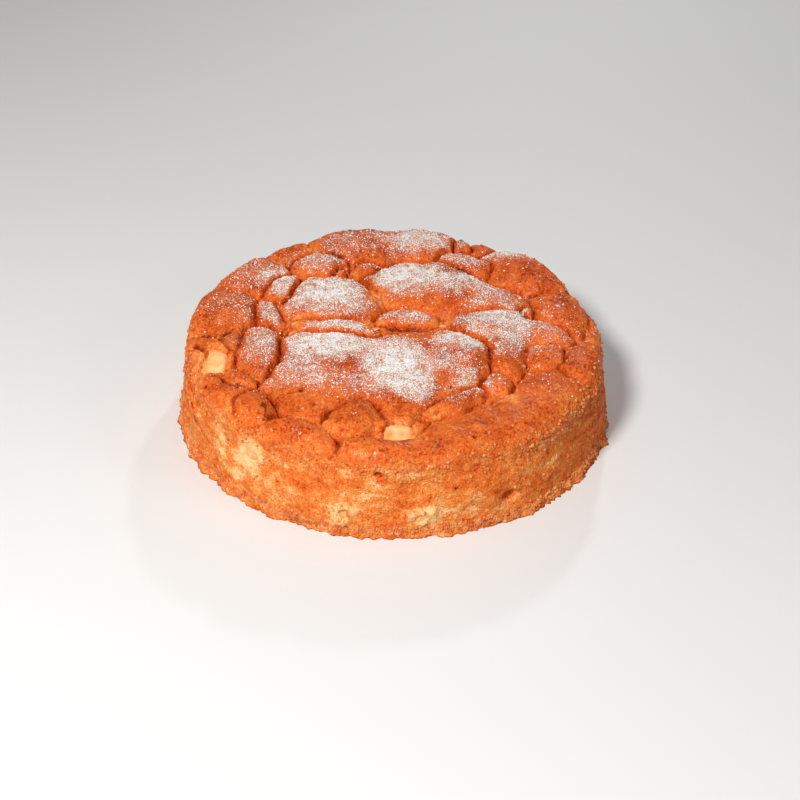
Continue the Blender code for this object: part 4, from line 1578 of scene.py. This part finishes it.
@dataclass(frozen=True)
class Scattered:
    """One kind of small piece scattered over the crust by Geometry Nodes."""

    name: str
    kind: Scatter
    follows: str
    amount: int
    size: float
    spread: float
    flatness: float
    sunk: float
    clotting: float
    seed: int

    def mean_density(self, crust: bpy.types.Mesh) -> float:
        """How many pieces a square metre gets where the attribute is 1, for the wanted amount.

        Args:
            crust: The mesh it is scattered over.

        Returns:
            Pieces to a square metre.
        """
        values = np.zeros(len(crust.vertices))
        crust.attributes[self.follows].data.foreach_get("value", values)
        covered = sum(face.area * values[list(face.vertices)].mean() for face in crust.polygons)
        return self.amount / covered

    def tree(self, density: float) -> ShapeTree:
        """Builds the scatter.

        Args:
            density: Pieces to a square metre where the attribute is 1.

        Returns:
            The tree.
        """
        tree = ShapeTree(f"{self.name}_scatter", {
            "Density": density, "Size": self.size, "Spread": self.spread,
            "Flatness": self.flatness, "Sunk": self.sunk, "Clotting": self.clotting})
        size = tree.inputs
        place = tree.add("GeometryNodeInputPosition").outputs[0]
        share = tree.add("GeometryNodeInputNamedAttribute", data_type="FLOAT")
        share.inputs["Name"].default_value = self.follows
        drift = tree.noise(place, 320, 70.0 + self.seed, 2.0)
        drift = tree.blend(size["Clotting"], 1.0, tree.math("MULTIPLY", tree.step(drift, 0.38, 0.66), 2.0))
        points = tree.add("GeometryNodeDistributePointsOnFaces", distribute_method="RANDOM")
        tree.feed(points.inputs["Mesh"], size["Geometry"])
        points.inputs["Seed"].default_value = self.seed
        wanted = tree.math("MULTIPLY", share.outputs["Attribute"], drift)
        tree.feed(points.inputs["Density"], tree.math("MULTIPLY", size["Density"], wanted))
        if self.kind is Scatter.OCTAHEDRON:
            shape = tree.add("GeometryNodeMeshUVSphere")
            shape.inputs["Segments"].default_value = 4
            shape.inputs["Rings"].default_value = 2
        else:
            shape = tree.add("GeometryNodeMeshIcoSphere")
            shape.inputs["Subdivisions"].default_value = 1
        shape.inputs["Radius"].default_value = 0.5
        turn = tree.add("FunctionNodeRandomValue", data_type="FLOAT_VECTOR")
        turn.inputs["Max"].default_value = (math.tau, math.tau, math.tau)
        turn.inputs["Seed"].default_value = self.seed + 1
        vary = tree.add("FunctionNodeRandomValue", data_type="FLOAT")
        low, high = [socket for socket in vary.inputs if socket.name in ("Min", "Max") and socket.enabled]
        tree.feed(low, tree.math("SUBTRACT", 1.0, size["Spread"]))
        tree.feed(high, tree.math("ADD", 1.0, size["Spread"]))
        vary.inputs["Seed"].default_value = self.seed + 2
        chance = [socket for socket in vary.outputs if socket.enabled][0]
        extent = tree.math("MULTIPLY", size["Size"], chance)
        girth = tree.add("ShaderNodeCombineXYZ")
        tree.feed(girth.inputs[0], extent)
        tree.feed(girth.inputs[1], extent)
        tree.feed(girth.inputs[2], tree.math("MULTIPLY", extent, size["Flatness"]))
        copies = tree.add("GeometryNodeInstanceOnPoints")
        tree.feed(copies.inputs["Points"], points.outputs["Points"])
        tree.feed(copies.inputs["Instance"], shape.outputs[0])
        tree.feed(copies.inputs["Rotation"], [socket for socket in turn.outputs if socket.enabled][0])
        tree.feed(copies.inputs["Scale"], girth.outputs[0])
        sink = tree.add("GeometryNodeTranslateInstances")
        tree.feed(sink.inputs["Instances"], copies.outputs[0])
        down = tree.add("ShaderNodeCombineXYZ")
        tree.feed(down.inputs[2], tree.math("MULTIPLY", size["Sunk"], -1.0))
        tree.feed(sink.inputs["Translation"], down.outputs[0])
        sink.inputs["Local Space"].default_value = False
        tree.end(sink.outputs[0])
        return tree

    def build(self, crust: bpy.types.Object, material: bpy.types.Material) -> bpy.types.Object:
        """Scatters the pieces and puts them on the cake.

        Args:
            crust: The piece they lie on.
            material: Their finish.

        Returns:
            All of them as one piece.
        """
        tree = self.tree(self.mean_density(crust.data))
        piece = tree.shape(self.name, crust.data.copy(), material)
        dress(piece, Slot.CRUST)
        return piece


CRUMBS = Scattered("crust_crumbs", Scatter.ICOSAHEDRON, "crumbly", 5200, 0.00150, 0.60, 0.75, 0.0, 0.60, 29)

SCATTERED_SUGAR = (
    Scattered("icing_sugar_fine", Scatter.OCTAHEDRON, "powder", 17000, 0.00048, 0.40, 0.8, 0.0, 0.60, 3),
    Scattered("icing_sugar_clumps", Scatter.ICOSAHEDRON, "powder", 5000, 0.00080, 0.50, 0.6, 0.0, 0.90, 17),
)


# The studio.


@dataclass(frozen=True)
class PhotoCamera:
    """The camera at the photograph's viewing angle, for a frame of 800 by 800."""

    target: tuple[float, float, float] = (-0.00336, 0.00272, 0.0)
    distance: float = 0.8922
    pitch: float = 0.5971
    roll: float = 0.0221
    focal_pixels: float = 1600.0
    frame_pixels: float = 800.0
    centre_pixels: tuple[float, float] = (386.88, 401.9)

    def build(self, middle: Vector) -> None:
        """Adds the camera and makes it the scene's own.

        Args:
            middle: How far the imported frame's origin is from the sponge's own.
        """
        lens = bpy.data.cameras.new("photo_camera")
        lens.sensor_width = 36.0
        lens.lens = lens.sensor_width * self.focal_pixels / self.frame_pixels
        lens.shift_x = (0.5 * self.frame_pixels - self.centre_pixels[0]) / self.frame_pixels
        lens.shift_y = (self.centre_pixels[1] - 0.5 * self.frame_pixels) / self.frame_pixels
        back = Vector((0.0, -math.cos(self.pitch), math.sin(self.pitch)))
        up = Vector((0.0, math.sin(self.pitch), math.cos(self.pitch)))
        facing = Matrix((Vector((1.0, 0.0, 0.0)), up, back)).transposed() @ Matrix.Rotation(self.roll, 3, "Z")
        camera = bpy.data.objects.new("photo_camera", lens)
        place = Vector(self.target) - middle + back * self.distance
        camera.matrix_world = Matrix.Translation(place) @ facing.to_4x4()
        bpy.context.scene.collection.objects.link(camera)
        bpy.context.scene.camera = camera


@dataclass(frozen=True)
class Softbox:
    """A soft light that points at the cake."""

    name: str
    place: tuple[float, float, float]
    size: float
    power: float
    colour: tuple[float, float, float] = (1.0, 1.0, 1.0)

    def build(self) -> None:
        """Adds the light."""
        light = bpy.data.lights.new(self.name, "AREA")
        light.shape = "DISK"
        light.size = self.size
        light.energy = self.power
        light.color = self.colour
        lamp = bpy.data.objects.new(self.name, light)
        lamp.location = self.place
        aim = Vector(self.place) - Vector((0.0, 0.0, 0.03))
        lamp.rotation_euler = aim.to_track_quat("Z", "Y").to_euler()
        bpy.context.scene.collection.objects.link(lamp)


@dataclass(frozen=True)
class Studio:
    """The pale floor, the soft lights and the pale surroundings."""

    softboxes: tuple[Softbox, ...] = (
        Softbox("key_softbox", (-0.39, -0.735, 0.89), 0.24, 15.3, (1.0, 0.985, 0.96)),
        Softbox("right_softbox", (0.85, -0.42, 0.60), 0.35, 1.4),
        Softbox("top_softbox", (0.10, 0.20, 1.20), 0.50, 0.6),
        Softbox("back_softbox", (0.20, 0.95, 0.62), 0.07, 2.2),
    )
    floor_radius: float = 6.0
    surroundings: Colour = (1.0, 1.0, 1.0, 1.0)
    surroundings_strength: float = 0.16
    finish: FloorFinish = FloorFinish()

    def build(self) -> None:
        """Adds the floor, the lights and the surroundings."""
        mesh = bmesh.new()
        bmesh.ops.create_circle(mesh, cap_ends=True, segments=96, radius=self.floor_radius)
        data = bpy.data.meshes.new("studio_floor")
        mesh.to_mesh(data)
        mesh.free()
        data.materials.append(self.finish.material())
        floor = bpy.data.objects.new("studio_floor", data)
        bpy.context.scene.collection.objects.link(floor)
        for softbox in self.softboxes:
            softbox.build()
        world = bpy.data.worlds.new("studio")
        world.use_nodes = True
        background = world.node_tree.nodes["Background"]
        background.inputs["Color"].default_value = self.surroundings
        background.inputs["Strength"].default_value = self.surroundings_strength
        bpy.context.scene.world = world
        bpy.context.scene.view_settings.view_transform = "Standard"


def main() -> None:
    """Builds the cake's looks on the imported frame."""
    logging.basicConfig(level=logging.INFO, format="%(name)s %(message)s")
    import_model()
    form = SpongeForm()
    middle = form.middle()
    PhotoCamera().build(middle)
    Studio().build()
    chunks = AppleChunks(form, middle).build()
    crust = BakedCrust(form, middle, chunks).build()
    CRUMBS.build(crust, CrumbFinish().material())
    sugar = SugarFinish().material()
    for kind in SCATTERED_SUGAR:
        kind.build(crust, sugar)


if __name__ == "__main__":
    main()
